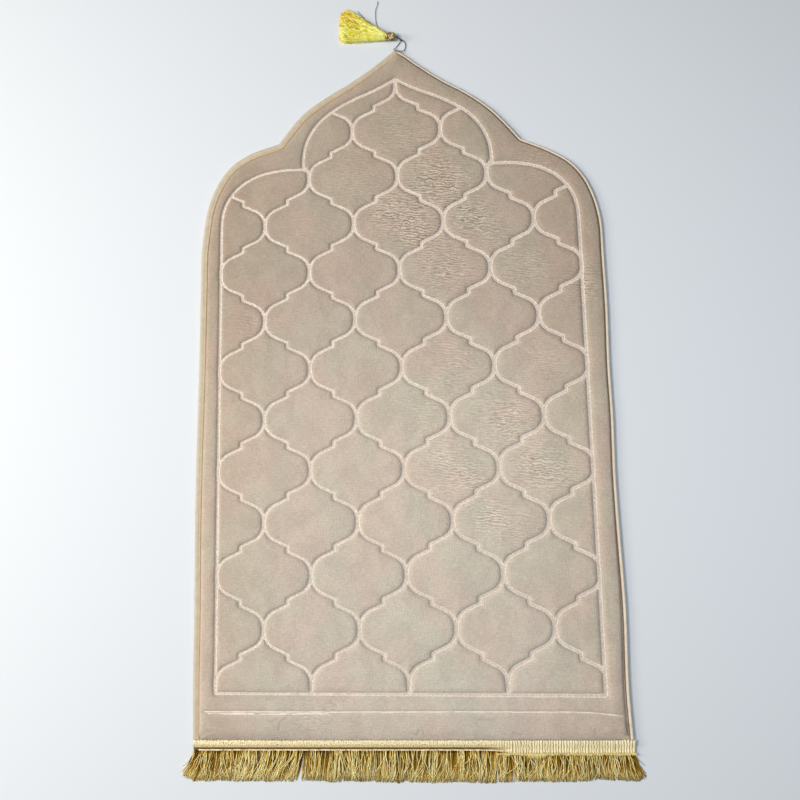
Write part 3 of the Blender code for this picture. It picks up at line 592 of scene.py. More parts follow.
def flared(points):
    """From 0 to 1: where two lines meet they run into each other, and the hot plate pressed a wider neck."""
    cells = np.column_stack([points[:, 0] / CELL_HALF_WIDTH, (TRELLIS_TOP_Y - points[:, 1]) / CELL_ROW])
    nearest = np.round(cells)
    off = (cells - nearest) * (CELL_HALF_WIDTH, CELL_ROW)
    junction = (nearest.sum(axis=1) % 2 == 0) & (nearest[:, 1] >= 0) & (nearest[:, 1] <= TRELLIS_ROWS)
    return junction * np.exp(-((off[:, 0] / 0.006) ** 2) - (off[:, 1] / 0.010) ** 2)


def face_heights(points):
    """Heights of the face in metres, and how far each point is from the lines, the seam and the edge, in mm."""
    line, seam_far, edge = (distances(points, tree) * 1000 for tree in (line_tree, seam_tree, edge_tree))
    wider = 0.85 * eased((points[:, 0] + 0.25) / 0.50) - 0.35  # the plate pressed harder towards the right
    line = np.maximum(line - FLARE_MM * flared(points) - wider, 0)
    pressed = 1 - eased((line - LINE_FLAT_MM) / (LINE_WALL_MM - LINE_FLAT_MM))
    rim = RIM_MM * hill(line, RIM_AT_MM, RIM_WIDTH_MM)
    crown = CROWN_MM * eased(line / CROWN_REACH_MM) * eased(edge / CROWN_REACH_MM)
    puff = (0.60 * gentle(points, 0.05) + 0.35 * gentle(points, 0.022, 9)) * eased(line / 14)
    stitched = SEAM_DEPTH_MM * (1 - eased((seam_far - 0.5) / 3.5))
    creased = CREASE_DEPTH_MM * hill(distances(points, crease_tree), 0, CREASE_WIDTH)
    height = MAT_THICKNESS * 1000 + crown + puff - LINE_DEPTH_MM * pressed + rim - stitched - creased
    from_strip = edge - binding_width(points[:, 0], points[:, 1]) + 0.8
    slope = np.where(points[:, 1] < FOOT_Y + 0.03, 4.5, 15.0)
    sewn = 0.72 * eased(from_strip / 3.8) + 0.28 * eased(from_strip / slope)
    edge_height = EDGE_TOP * 1000
    return (edge_height + (height - edge_height) * sewn) / 1000, line, seam_far, edge


def closed_mat():
    """The mat's points and faces, and for each point its distances in mm."""
    flat = [tuple(p) for p in outline] + [tuple(p) for p in flat_points]
    rim = len(outline)
    loop = [(i, (i + 1) % rim) for i in range(rim)]
    found, _, triangles, origins, _, _ = delaunay_2d_cdt(flat, loop, [], 1, 1e-7)
    face = np.array([tuple(p) for p in found])
    heights, *far = face_heights(face)
    place = {source: i for i, sources in enumerate(origins) for source in sources}
    points = [np.column_stack([face, heights])]
    faces = [tuple(t) for t in triangles]
    upper, count = [place[i] for i in range(rim)], len(face)
    inward = leftwards(np.roll(outline, -1, axis=0) - np.roll(outline, 1, axis=0))
    for depth, height in SIDE_RINGS:
        points.append(np.column_stack([outline + inward * depth, np.full(rim, height)]))
        lower = list(range(count, count + rim))
        faces += [(upper[i], lower[i], lower[j], upper[j]) for i, j in loop]
        upper, count = lower, count + rim
    faces.append(tuple(upper[::-1]))
    marks = [np.concatenate([values, np.full(count - len(face), FAR_MM)]) for values in far]
    return np.concatenate(points), faces, marks


points, faces, marks = closed_mat()
mat = mesh_piece("plush_mat", points, faces, plush, "plush", 75)
# Where the pile was rubbed: x, y and radius in metres, and how strongly.
RUBBED = (
    (0.06, 0.322, 0.042, 0.95), (0.085, 0.3, 0.03, 0.7), (-0.015, 0.268, 0.03, 0.75), (0.018, 0.246, 0.034, 0.9),
    (0.034, 0.228, 0.026, 0.6), (0.118, 0.25, 0.026, 1.0), (0.15, 0.225, 0.03, 0.45), (0.074, 0.17, 0.042, 0.6),
    (0.01, 0.4, 0.045, 0.32), (-0.073, 0.326, 0.045, 0.22), (-0.146, 0.246, 0.04, 0.12), (-0.24, 0.087, 0.035, 0.2),
    (0.2, 0.17, 0.035, 0.45), (0.225, 0.345, 0.03, 0.3), (0.08, 0.01, 0.042, 0.32), (0.225, 0.01, 0.035, 0.2),
    (0.03, -0.06, 0.03, 0.18), (0.16, -0.072, 0.045, 0.38), (0.165, -0.09, 0.02, 0.4), (0.074, -0.152, 0.042, 0.38),
    (0.106, -0.165, 0.018, 0.5), (0.205, -0.15, 0.03, 0.62), (0.245, -0.165, 0.024, 0.45),
    (0.128, -0.226, 0.026, 0.5), (0.165, -0.245, 0.03, 0.25), (0.292, 0.14, 0.03, 0.45), (-0.15, -0.52, 0.028, 0.18),
)


def rubbed(points):
    """From 0 to 1, how much the pile was rubbed at these points."""
    smooth = np.ones(len(points))
    for x, y, radius, strength in RUBBED:
        smooth *= 1 - strength * np.exp(-(((points[:, 0] - x) ** 2 + (points[:, 1] - y) ** 2) / radius**2))
    return np.clip((1 - smooth) * (1 + 0.5 * gentle(points, 0.02, 3)) + 0.07, 0, 1)


creased = distances(points[:, :2], crease_tree) * 1000
paint(mat, line_mm=marks[0], seam_mm=marks[1], crease_mm=creased, ruffle=rubbed(points[:, :2]))
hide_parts("rug_pad")
mat.data.materials.append(backing_material())
mat.data.polygons[len(mat.data.polygons) - 1].material_index = 1  # the underside is one flat face, made last
print("mat:", len(mat.data.vertices), "points,", round(1000 * points[:, 2].max(), 1), "mm high")

# %% [markdown]
# ## Binding
#
# A knitted polyester tape, about 20 mm wide, is folded round the raw edge and sewn through. It is drawn as one
# section, a rounded C that holds the edge of the mat, swept along the outline. Its outer side is a soft roll, and
# the stitches pull a fine groove a few millimetres in. Its ribs are 0.75 mm apart.

# %% The binding's section and sweep
TOP_Y = -0.5483  # of the heading, which lies over the ends of the binding
NOSE_MM, LEG_MM = 1.5, 6.5  # the section's legs start this far in from the mat's edge, and are this long
# Millimetres outwards from the mat's edge, and height. Upper side first, then round the nose and back underneath.
BINDING_SECTION = (
    (-8.0, 4.5), (-8.0, 5.25), (-7.2, 5.62), (-6.0, 5.72), (-5.2, 5.5), (-4.4, 5.72), (-3.0, 6.02), (-1.4, 6.08),
    (0.0, 5.7), (1.0, 4.9), (1.5, 3.6), (1.5, 2.2), (1.1, 0.9), (0.2, 0.1), (-1.5, 0.0), (-7.8, 0.0), (-8.0, 0.5),
    (-7.8, 1.2), (-1.0, 1.2), (0.3, 1.7), (0.3, 4.0), (-0.8, 4.5),
)


def binding_path(step):
    """The edge that is bound, from one end of the foot round the arch to the other, and which way is out."""
    path = mat_outline(step)
    end_y = TOP_Y + CLEARANCE
    path = path[path[:, 1] > end_y + 0.0005]
    path = np.concatenate([[(path[0, 0], end_y)], path, [(path[-1, 0], end_y)]])
    return path, -leftwards(np.gradient(path, axis=0))


def swept(section, path, outward, lift, narrowed):
    """Points of a section carried along a path. narrowed shortens its two legs, ring by ring."""
    nose = NOSE_MM / 1000
    out, up = np.array(section).T / 1000
    out = np.where(out < -nose, -nose + (out + nose) * narrowed[:, None], out)
    across = path[:, None, :] + outward[:, None, :] * out[..., None]
    return np.concatenate([across, (up + lift)[..., None]], axis=2).reshape(-1, 3)


path, outward = binding_path(0.0026)
run = length_so_far(path)
pucker = 0.00006 * np.sin(run / 0.0009) + 0.0002 * wavering(run, 0.012)
upper_side = np.array([1.0 if high > 4.6 else 0.0 for _, high in BINDING_SECTION])
narrowed = (binding_width(path[:, 0], np.maximum(path[:, 1], FOOT_Y + 0.33)) - NOSE_MM) / LEG_MM
points = swept(BINDING_SECTION, path, outward, pucker[:, None] * upper_side[None], narrowed)

# %% The binding's material
# Both bands are painted lightest over the top of the roll, a painted highlight, and darker round the nose towards the
# floor, painted shade.
LEFT_BAND_PAINTED_LIGHT_STOPS = (  # from the stitch line, over the roll, to the floor
    (0.0, "#C9B594"), (0.16, "#CDBA99"), (0.4, "#D0C1A8"), (0.54, "#D4C7B3"), (0.72, "#CBC0AF"), (0.88, "#C2B8A6"),
    (1.0, "#BAB09E"),
)
# On the right the tape was turned further under: a cream roll, and where it meets the plush a brown line of painted
# shadow.
RIGHT_BAND_PAINTED_LIGHT_STOPS = ((0.0, "#D9C7A9"), (0.35, "#EBDCC2"), (0.7, "#F8ECDA"), (0.9, "#E9DECB"), (1.0, "#BDB6A8"))


def binding_material():
    material, shader, add = new_material(
        "knitted polyester binding", Roughness=0.62, Specular_IOR_Level=0.3, Sheen_Weight=0.25
    )
    marks = ("along_mm", "out_mm", "inner_mm", "right")
    along, out, inner, right = (add("Attribute", attribute_name=mark) for mark in marks)
    share = add("MapRange", out, From_Min=-8.0, From_Max=1.5)
    left_band, right_band = (add("ValToRGB", share, stops=stops) for stops in (LEFT_BAND_PAINTED_LIGHT_STOPS, RIGHT_BAND_PAINTED_LIGHT_STOPS))
    # Painted shadow: a brown line along the right band's inner edge, where the plush beside it shades it.
    stitched = add("MapRange", inner, From_Min=1.3, From_Max=0.7)
    right_band = add("Mix", stitched, right_band, "#7A6048", data_type="RGBA")
    cloth = add("Mix", right, left_band, right_band, data_type="RGBA")
    place = add("CombineXYZ", along, out)
    ribs = add("TexWave", place, Scale=0.42, Distortion=1.2, Detail=2)
    wear = add("ValToRGB", add("TexNoise", place, Scale=0.12, Detail=4), stops=((0.35, "#F3F0EA"), (0.65, "#FFFFFF")))
    ribbed = add("ValToRGB", ribs, stops=((0.0, "#E8E3DA"), (0.6, "#FFFFFF")))
    for amount, tint in ((1.0, wear), (0.6, ribbed)):
        cloth = add("Mix", amount, cloth, tint, data_type="RGBA", blend_type="MULTIPLY")
    fill(shader, Base_Color=cloth, Normal=add("Bump", Strength=0.4, Distance=0.0002, Height=ribs))
    return material


count = len(BINDING_SECTION)
binding = mesh_piece("bound_edge", points, ring_faces(len(path), count), binding_material(), "binding_cloth", 80)
out_mm = np.tile([out for out, _ in BINDING_SECTION], (len(path), 1))
inner_mm = (np.minimum(out_mm, -1.5) + 8.0) * narrowed[:, None] + np.maximum(out_mm + 1.5, 0)
right = np.repeat(eased((path[:, 0] - 0.002) / 0.020), count)
paint(binding, along_mm=np.repeat(run * 1000, count), out_mm=out_mm.ravel(), inner_mm=inner_mm.ravel(), right=right)
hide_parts("edge_binding")
print("binding:", round(run[-1], 3), "m long,", len(binding.data.vertices), "points")

# %% [markdown]
# ## Strands
#
# A fringe and a tassel are bunches of fine rayon yarn. Hair particles can't be exported as solid pieces, so each
# yarn is a thin tube with three sides, and all of them are made at once with arrays. Rayon is smooth and glossy, so
# each strand catches the light by itself; the strands on top are also painted brighter, as painted highlight, and
# the ones below painted darker, as painted shade.

# %% Many thin tubes at once


def tubes(paths, radii, sides=3):
    """Closed tubes along many paths at once: paths is strand by station by xyz, radii is strand by station."""
    strands, stations, _ = paths.shape
    along = np.gradient(paths, axis=1)
    along /= np.linalg.norm(along, axis=2, keepdims=True)
    side = np.cross(along, (0.0, 0.0, 1.0))
    side /= np.maximum(np.linalg.norm(side, axis=2, keepdims=True), 1e-9)
    over = np.cross(side, along)
    turns = np.arange(sides) * 2 * math.pi / sides - math.pi / 2  # a flat side on top
    ring = np.cos(turns)[:, None] * side[:, :, None] + np.sin(turns)[:, None] * over[:, :, None]
    points = (paths[:, :, None] + ring * radii[:, :, None, None]).reshape(-1, 3)
    first = (np.arange(strands) * stations * sides)[:, None, None]
    a = first + (np.arange(stations - 1) * sides)[None, :, None] + np.arange(sides)[None, None]
    b = first + (np.arange(stations - 1) * sides)[None, :, None] + (np.arange(sides)[None, None] + 1) % sides
    quads = np.stack([a, b, b + sides, a + sides], axis=3).reshape(-1, 4)
    start = (first[:, 0] + np.arange(sides)[::-1]).tolist()
    end = (first[:, 0] + (stations - 1) * sides + np.arange(sides)).tolist()
    return points, [*quads.tolist(), *start, *end]


def each_point(values, stations, sides=3):
    """One number for each strand, or for each strand and station, repeated for the points round it."""
    values = np.asarray(values)
    values = values[:, None] if values.ndim == 1 else values
    return np.repeat(np.broadcast_to(values, (len(values), stations)).ravel(), sides)


# %% [markdown]
# ## Fringe
#
# The fringe is bought by the metre: a woven heading, and loops of gold rayon cut open along the bottom. On most of
# the foot the heading's lower edge has rolled under, so a dark groove and one running cord show below it. Near the
# right end it lies open, and its ribs run straight down into the fringe.

# %% The heading
HEADING_LEFT_X, HEADING_RIGHT_X = -0.3250, 0.3275
OPEN_FROM_X, OPEN_TO_X = 0.100, 0.150  # the heading opens out between these
RIB_SPREAD, OPEN_RIB_SPREAD = 0.0026, 0.0012  # between ribs, and how much more where the heading opens out
RIB_HEIGHT_MM = 0.40
EDGE_WAVES_MM = ((0.35, 0.030, 4), (0.15, 0.006, 5))  # how the edges wander: height, length and seed
TOP_LOOP = 0.0052  # between the small loops along the heading's upper edge
# Millimetres down from the heading's upper edge, and height, where it is rolled and where it lies open.
ROLLED = (
    (0.0, 4.55), (0.0, 5.6), (0.8, 6.2), (2.4, 6.4), (5.0, 6.2), (7.6, 5.7), (10.0, 5.0), (11.6, 4.2), (12.2, 3.0),
    (12.6, 2.2), (13.6, 1.9), (14.8, 1.8), (17.0, 1.6), (17.0, 0.6), (13.0, 0.4), (5.0, 4.0),
)
OPEN = (
    (0.0, 4.55), (0.0, 5.6), (0.8, 6.0), (3.0, 6.05), (6.0, 5.75), (8.5, 5.0), (10.5, 4.2), (12.5, 3.5), (14.5, 3.2),
    (16.5, 3.0), (18.5, 2.8), (20.4, 2.6), (21.4, 2.1), (21.2, 1.2), (13.0, 0.4), (5.0, 4.0),
)
# How much of the ribs each point of those sections shows.
ROLLED_RIBS = np.array([0, 0.6, 1, 1, 1, 1, 1, 0.8, 0.4, 0, 0, 0, 0, 0, 0, 0])
OPEN_RIBS = np.array([0, 0.6, 1, 1, 1, 1, 1, 1, 1, 1, 1, 1, 1, 0, 0, 0])


def open_share(x):
    return eased((x - OPEN_FROM_X) / (OPEN_TO_X - OPEN_FROM_X))


def heading_mesh(step):
    """The heading swept from left to right, ribbed by its warp."""
    xs = np.arange(HEADING_LEFT_X, HEADING_RIGHT_X, step)
    share = open_share(xs)[:, None, None]
    section = np.array(ROLLED)[None] * (1 - share) + np.array(OPEN)[None] * share
    wander = waved(0, xs, EDGE_WAVES_MM)
    spread = RIB_SPREAD + OPEN_RIB_SPREAD * open_share(xs)
    ribs = RIB_HEIGHT_MM * np.abs(np.sin(xs * math.pi / spread + 2 * wavering(xs, 0.009, 7))) - RIB_HEIGHT_MM / 2
    amount = ROLLED_RIBS[None] * (1 - share[..., 0]) + OPEN_RIBS[None] * share[..., 0]
    heights = section[..., 1] + ribs[:, None] * amount
    down = section[..., 0] + wander[:, None] * (section[..., 0] > 0) * 0.8
    top_loops = (1.0 + 0.9 * wavering(xs, 0.0080, 6)) * np.abs(np.sin(xs * math.pi / TOP_LOOP))
    down[:, :3] += top_loops[:, None] * (1, 1, 0.5)
    points = np.stack([np.repeat(xs[:, None], len(ROLLED), axis=1), TOP_Y - down / 1000, heights / 1000], axis=2)
    return xs, down, points.reshape(-1, 3)


# %% The heading's material
HEADING_STOPS = ((0.36, "#86692A"), (0.44, "#DEC27C"), (0.51, "#FFF1C0"), (0.66, "#FFFAE2"))
FOOT_GOLD_AND_SHADE_STOPS = (
    (0.1, "#000000"), (0.24, "#B0B0B0"), (0.38, "#B0B0B0"), (0.48, "#404040"), (0.66, "#606060"), (0.8, "#F0F0F0"),
)


def heading_material():
    """Woven rayon. Its warp, under 1 mm apart, is drawn as ribs about 4 mm apart so that it shows."""
    material, shader, add = new_material("woven rayon heading", Roughness=0.42, Sheen_Weight=0.3)
    along, down, opened = (add("Attribute", attribute_name=mark) for mark in ("along_mm", "down_mm", "open"))
    closed = add("Math", 1.0, opened, operation="SUBTRACT")
    place = add("CombineXYZ", along, down)
    ribs = add("TexWave", place, Scale=0.080, Distortion=4.0, Detail=2, Detail_Scale=1.5)
    flecks = add("TexNoise", add("Mapping", place, Scale=(0.55, 0.36, 1.0)), Scale=1.0, Detail=5, Roughness=0.75)
    ribbed = add("MapRange", ribs, From_Max=0.55, To_Min=0.345, To_Max=0.57)
    mixed = add("Mix", opened, flecks, add("Mix", 0.2, ribbed, flecks))
    cloth = add("ValToRGB", mixed, stops=HEADING_STOPS)
    # Its lower third turns down, away from the light, and shows the golden foot of the loops: their own gold, with
    # painted shade. The groove below it is darkened with painted shade.
    wander = add("Math", flecks, 3.0, down, operation="MULTIPLY_ADD")
    foot = add("ValToRGB", add("MapRange", wander, From_Min=7.5, From_Max=13.0), stops=FOOT_GOLD_AND_SHADE_STOPS)
    groove = add("MapRange", down, From_Min=11.2, From_Max=12.2)
    for amount, shade in ((foot, "#94702A"), (groove, "#6A4E18")):
        cloth = add("Mix", add("Math", amount, closed, operation="MULTIPLY"), cloth, shade, data_type="RGBA")
    fill(shader, Base_Color=cloth, Normal=add("Bump", Strength=0.5, Distance=0.0006, Height=mixed))
    return material


xs, down, points = heading_mesh(0.00065)
count = len(ROLLED)
gold_braid = heading_material()
heading = mesh_piece("fringe_heading", points, ring_faces(len(xs), count), gold_braid, "fringe_rayon", 70)
paint(heading, along_mm=np.repeat(xs * 1000, count), down_mm=down.ravel(), open=np.repeat(open_share(xs), count))
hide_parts("fringe")
print("heading:", len(heading.data.vertices), "points")

# %% The locks of the fringe
STATIONS = 6
ROOT_Y_ROLLED, ROOT_Y_OPEN = -0.5640, -0.5672
FRINGE_END_Y = -0.6066
# How far the tips lie to the right of their roots, in mm, for places along the foot.
LEAN_AT_X = (
    -0.325, -0.315, -0.3, -0.27, -0.24, -0.195, -0.172, -0.154, -0.12, -0.06, 0.0, 0.08, 0.14, 0.16, 0.2, 0.24, 0.3,
    0.315, 0.3275,
)
LEAN_MM = (
    -19.0, -13.0, -9.0, -8.0, -11.0, -13.0, -11.0, -3.0, -2.5, 0.5, -2.0, -3.0, -1.0, 1.5, -4.0, 1.0, 4.0, 9.0, 16.5,
)
LEAN_LIMITS = (-0.0185, 0.0165)
# How the locks' lean, their tips and their dye change along the foot: height, length and seed of each wave.
LEAN_WAVES = ((0.0030, 0.014, 11), (0.0024, 0.004, 12))
TIP_WAVES = ((0.0016, 0.020, 13), (0.0018, 0.005, 14))
DYE_WAVES = ((0.20, 0.010, 15),)
# Where the fringe is parted, and how far the strands there are pushed apart, in metres.
PARTINGS = (
    (-0.1595, 0.0042), (-0.1077, 0.0028), (-0.0577, 0.0024), (0.1517, 0.003), (-0.245, 0.0012), (0.056, 0.0012),
)


def fringe_strands(locks, strands_in_lock, wildness, lowest, highest, tones, shares):
    """Paths of the strands of one layer, and how bright each is at each station. A lock is about 1.2 mm wide."""
    xs = rng.uniform(HEADING_LEFT_X + 0.0006, HEADING_RIGHT_X - 0.0006, locks)
    lean = waved(np.interp(xs, LEAN_AT_X, LEAN_MM) / 1000, xs, LEAN_WAVES)
    stray = rng.normal(0, 0.0016 * wildness, locks)
    lean += stray + np.where(rng.random(locks) < 0.15, rng.normal(0, 0.004 * wildness, locks), 0)
    near_left, near_right = np.exp((HEADING_LEFT_X - xs) / 0.015), np.exp((xs - HEADING_RIGHT_X) / 0.015)
    tip_y = waved(FRINGE_END_Y, xs, TIP_WAVES) + (0.0030 * hill(xs, 0.278, 0.030) - 0.0014 * hill(xs, 0.07, 0.09))
    tip_y += rng.exponential(0.0013 * wildness, locks) - 0.0010 + 0.0120 * near_left**3 + 0.0090 * near_right**3
    for place, push in PARTINGS:
        lean += push * np.sign(xs - place) * np.exp(-np.abs(xs - place) / 0.005)
    lean = np.clip(lean, *LEAN_LIMITS)
    layer = rng.random(locks)
    # Painted light: strands that lie higher in the layer are painted brighter.
    tone = waved(rng.choice(tones, locks, p=shares), xs, DYE_WAVES) + 0.15 * (layer - 0.5)
    # Painted light: the strands beside a parting are painted palest, in place of the lit floor that shows through.
    for place, push in PARTINGS:  # the brushed-up strands beside a parting are the palest
        tone += 90 * push * (wildness > 1) * hill(xs, place, 0.004)

    count = locks * strands_in_lock
    xs, lean, tip_y, layer, tone = (np.repeat(values, strands_in_lock) for values in (xs, lean, tip_y, layer, tone))
    xs = np.clip(xs + rng.normal(0, 0.00032, count), HEADING_LEFT_X + 0.0004, HEADING_RIGHT_X - 0.0004)
    lean, tip_y = lean + rng.normal(0, 0.00045, count), tip_y - 0.0010 + rng.exponential(0.0027, count)
    share = np.linspace(0, 1, STATIONS)[None]
    wave = np.repeat(rng.normal(0, 0.0009, locks), strands_in_lock)[:, None] * np.sin(share * 6 + xs[:, None] * 900)
    bow = np.repeat(rng.normal(0, 0.0015, locks), strands_in_lock)[:, None] * np.sin(share * math.pi)
    root_y = ROOT_Y_ROLLED + (ROOT_Y_OPEN - ROOT_Y_ROLLED) * open_share(xs)
    across = xs[:, None] + lean[:, None] * share**1.5 + (wave + bow) * wildness * share
    across = np.clip(across, HEADING_LEFT_X - 0.0190 * share**1.5, HEADING_RIGHT_X + 0.0170 * share**1.3)
    down = root_y[:, None] + (tip_y - root_y)[:, None] * share
    loft = (lowest + (highest - lowest) * layer)[:, None]
    up = loft * (1 - 0.5 * share) + 0.0006 * np.sin(share * math.pi) * layer[:, None]
    ripple = np.sin(share * 8 + rng.uniform(0, 6, (count, 1)))
    # Painted light: each strand is painted darker at its root and paler towards its tip, and the loose tips palest,
    # as painted highlight.
    dyes = tone[:, None] + (0.20 + 0.09 * wildness) * (share - 0.5) + (0.06 + 0.07 * wildness) * ripple
    loose = rng.random((count, 1)) < 0.40
    dyes += np.where(loose, 0.75, 0.10) * np.maximum(share - 0.62, 0) / 0.38  # the loose tips are the palest
    dyes[:, 0] -= 0.3  # and the roots lie in the shade of the heading
    return np.stack([across, down, up], axis=2), np.clip(dyes, 0, 1)


def rayon_material(name, dark, middle, bright, palest, lustre, roughness):
    """Glossy rayon yarn, painted darker deep in the bunch as shade. The lustre is its mirror light, dyed like the
    yarn.
    """
    material, shader, add = new_material(
        name, Roughness=roughness, Anisotropic=0.5, Specular_IOR_Level=0.8, Specular_Tint=lustre
    )
    dye, aged = (add("Attribute", attribute_name=mark) for mark in ("dye", "aged"))
    colour = add("ValToRGB", dye, stops=((0.15, dark), (0.5, middle), (0.88, bright), (1.0, palest)))
    fleck = add("TexNoise", add("TexCoord", out="Object"), Scale=700, Detail=2)
    fleck = add("ValToRGB", fleck, stops=((0.35, "#E6E6E6"), (0.55, "#FFFFFF")))
    colour = add("Mix", 1.0, colour, fleck, data_type="RGBA", blend_type="MULTIPLY")
    fill(shader, Base_Color=add("Mix", aged, colour, "#F0AE10", data_type="RGBA"))
    return material


def strand_piece(name, paths, radius, taper, material, slot, dyes):
    """Strands of one piece, thinner towards their tips, with their colour and painted light for each station of each.
    """
    stations = paths.shape[1]
    radii = np.full(paths.shape[:2], radius) * np.linspace(1.0, taper, stations)[None]
    piece = mesh_piece(name, *tubes(paths, radii), material, slot)
    paint(piece, dye=each_point(dyes, stations))
    print(name, len(paths), "strands,", len(piece.data.polygons), "faces")
    return piece


gold_rayon = rayon_material("old gold rayon", "#66490A", "#C6952A", "#FFE890", "#FFF2B0", "#FFD986", 0.26)
# Most strands lie flat and close underneath, painted dark as shade. The ones on top were brushed apart, and are
# painted bright as highlight.
LAYERS = {
    "fringe_under": (1150, 4, 0.8, 0.0006, 0.0016, (0.10, 0.30, 0.46), (0.34, 0.38, 0.28), 0.00042),
    "fringe_over": (430, 4, 1.9, 0.0018, 0.0030, (0.24, 0.42, 0.74), (0.38, 0.36, 0.26), 0.00034),
    "fringe_stray": (340, 1, 3.2, 0.0030, 0.0040, (0.95, 1.20), (0.4, 0.6), 0.00060),
}
for name, (*shape, radius) in LAYERS.items():
    paths, dyes = fringe_strands(*shape)
    layer = strand_piece(name, paths, radius, 0.65, gold_rayon, "fringe_rayon", dyes)
    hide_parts("fringe")

# %% Ribs that run on below the open heading
RIB_END_SPACING, RIB_END_RADIUS, RIB_END_Z = 0.00095, 0.00062, 0.0050
rib_xs = np.arange(0.126, HEADING_RIGHT_X - 0.001, RIB_END_SPACING)
long_ribs = waved(0.0036 + 0.0060 * hill(rib_xs, 0.182, 0.014), rib_xs, [(0.0022, 0.006, 21)])
lengths = np.clip(long_ribs * rng.uniform(0.7, 1.2, len(rib_xs)), 0.0012, 0.0105)
share = np.linspace(0, 1, 4)[None]
lean = np.interp(rib_xs, LEAN_AT_X, LEAN_MM)[:, None]
across = rib_xs[:, None] + lean * 0.00012 * share + 0.0004 * rng.normal(0, 1, (len(rib_xs), 1)) * share
down = TOP_Y - 0.0190 - lengths[:, None] * share
up = np.broadcast_to(RIB_END_Z - 0.0005 * share, across.shape)
dyes = np.where(np.abs(np.sin(rib_xs * math.pi / 0.0038)) > 0.5, 1.0, 0.90)[:, None] - 0.08 * share**2
rib_paths = np.stack([across, down, up], axis=2)
rib_ends = strand_piece("rib_ends", rib_paths, RIB_END_RADIUS, 0.6, gold_rayon, "fringe_rayon", dyes)
print("the longest rib end is", round(1000 * lengths.max(), 1), "mm")

# %% The running cord below the rolled heading
CORD_RADIUS, CORD_SIDES = 0.0010, 6
xs = np.arange(HEADING_LEFT_X + 0.008, OPEN_TO_X, 0.002)
cord_path = np.column_stack([xs, -0.5634 - 0.0012 * open_share(xs), 0.0030 - 0.0003 * np.sin(xs / 0.003)])
points, faces = tubes(cord_path[None], np.full((1, len(xs)), CORD_RADIUS), CORD_SIDES)
running_cord = mesh_piece("running_cord", points, faces, gold_braid, "fringe_rayon")
every = np.repeat(xs * 1000, CORD_SIDES)
paint(running_cord, along_mm=every, down_mm=np.full_like(every, 4.0), open=np.zeros_like(every))
print("running cord:", round(xs[-1] - xs[0], 3), "m")

# %% [markdown]
# ## Tassel
#
# The tassel is a skein of lemon rayon, folded over its own shank and wound at the neck with brown and gold thread.
# It has been lying flat, so the skirt fans out to one side. Its strands start packed on a disc inside the neck and
# end along a line on the floor.

# %% The tassel's skirt
TASSEL_Y = 0.5755
NECK_LEFT_X, NECK_RADIUS, NECK_HEIGHT = -0.0155, 0.0062, 0.0070
SKIRT_LOCKS, SKIRT_STRANDS_IN_LOCK, SKIRT_STATIONS = 270, 5, 20
SKIRT_STRAND_RADIUS = 0.00036
SWAY = 0.0006  # how far the yarns kink to each side
# Where the strands end, from the lower edge round to the upper one.
SKIRT_ENDS = ((-0.09, 0.5725), (-0.0905, 0.59), (-0.09, 0.606), (-0.0885, 0.618), (-0.084, 0.6255), (-0.076, 0.627))


def skirt_strands():
    """Paths of the strands, how bright each is at each station, and where in the fan it lies."""
    count = SKIRT_LOCKS * SKIRT_STRANDS_IN_LOCK
    fan, layer, beat, tone = (np.repeat(rng.random(SKIRT_LOCKS), SKIRT_STRANDS_IN_LOCK) for _ in range(4))
    fan, layer = (np.clip(at + rng.normal(0, spread, count), 0, 1) for at, spread in ((fan, 0.006), (layer, 0.03)))
    ends = smooth_curve(SKIRT_ENDS, 0.0005)
    tips = ends[(fan * (len(ends) - 1)).astype(int)] + rng.normal(0, 0.0019, (count, 2))
    height = (2 * layer - 1) * NECK_RADIUS
    across = (2 * fan - 1) * np.sqrt(np.maximum(NECK_RADIUS**2 - height**2, 0))
    start = np.stack([np.full(count, NECK_LEFT_X + 0.002), TASSEL_Y + across, NECK_HEIGHT + height], axis=1)
    tip = np.column_stack([tips, 0.0005 + 0.0055 * layer])
    tip[:, :2] += (start[:, :2] - tip[:, :2]) * rng.exponential(0.026, (count, 1))
    share = np.linspace(0, 1, SKIRT_STATIONS)
    paths = start[:, None] + (tip - start)[:, None] * share[None, :, None]
    settle = np.sin(share * math.pi / 2) ** 0.9
    paths[:, :, 2] = start[:, 2:] + (tip - start)[:, 2:] * settle[None]
    phase = share[None] * (26 + 16 * beat[:, None]) + 60 * beat[:, None]
    sway = SWAY * np.minimum(share[None] * 2, 1)
    paths[:, :, 1] += np.sin(phase) * sway
    paths[:, :, 2] = np.maximum(paths[:, :, 2] + np.cos(phase) * sway * 0.8, 0.0004)
    # The yarns kink together and a gap opens over several of them, where shade is painted: a dark dash about 2 mm
    # wide and 7 mm long.
    gaps = np.stack(np.broadcast_arrays(fan[:, None] * 28, share[None] * 11), axis=2).reshape(-1, 2)
    gaps = np.clip((gentle(gaps, 1.0, 8).reshape(phase.shape) - 0.07) / 0.20, 0, 1)
    gap_shade = gaps * np.minimum(share[None] * 2.2, 1) * (0.6 + 0.4 * fan[:, None])
    # Painted light: the strands on top of the skirt are painted brighter, and the gaps darker with painted shade.
    dyes = 0.90 + 0.20 * layer[:, None] + 0.34 * (tone[:, None] - 0.5) - 0.92 * gap_shade
    return paths, np.clip(dyes, 0, 1), fan


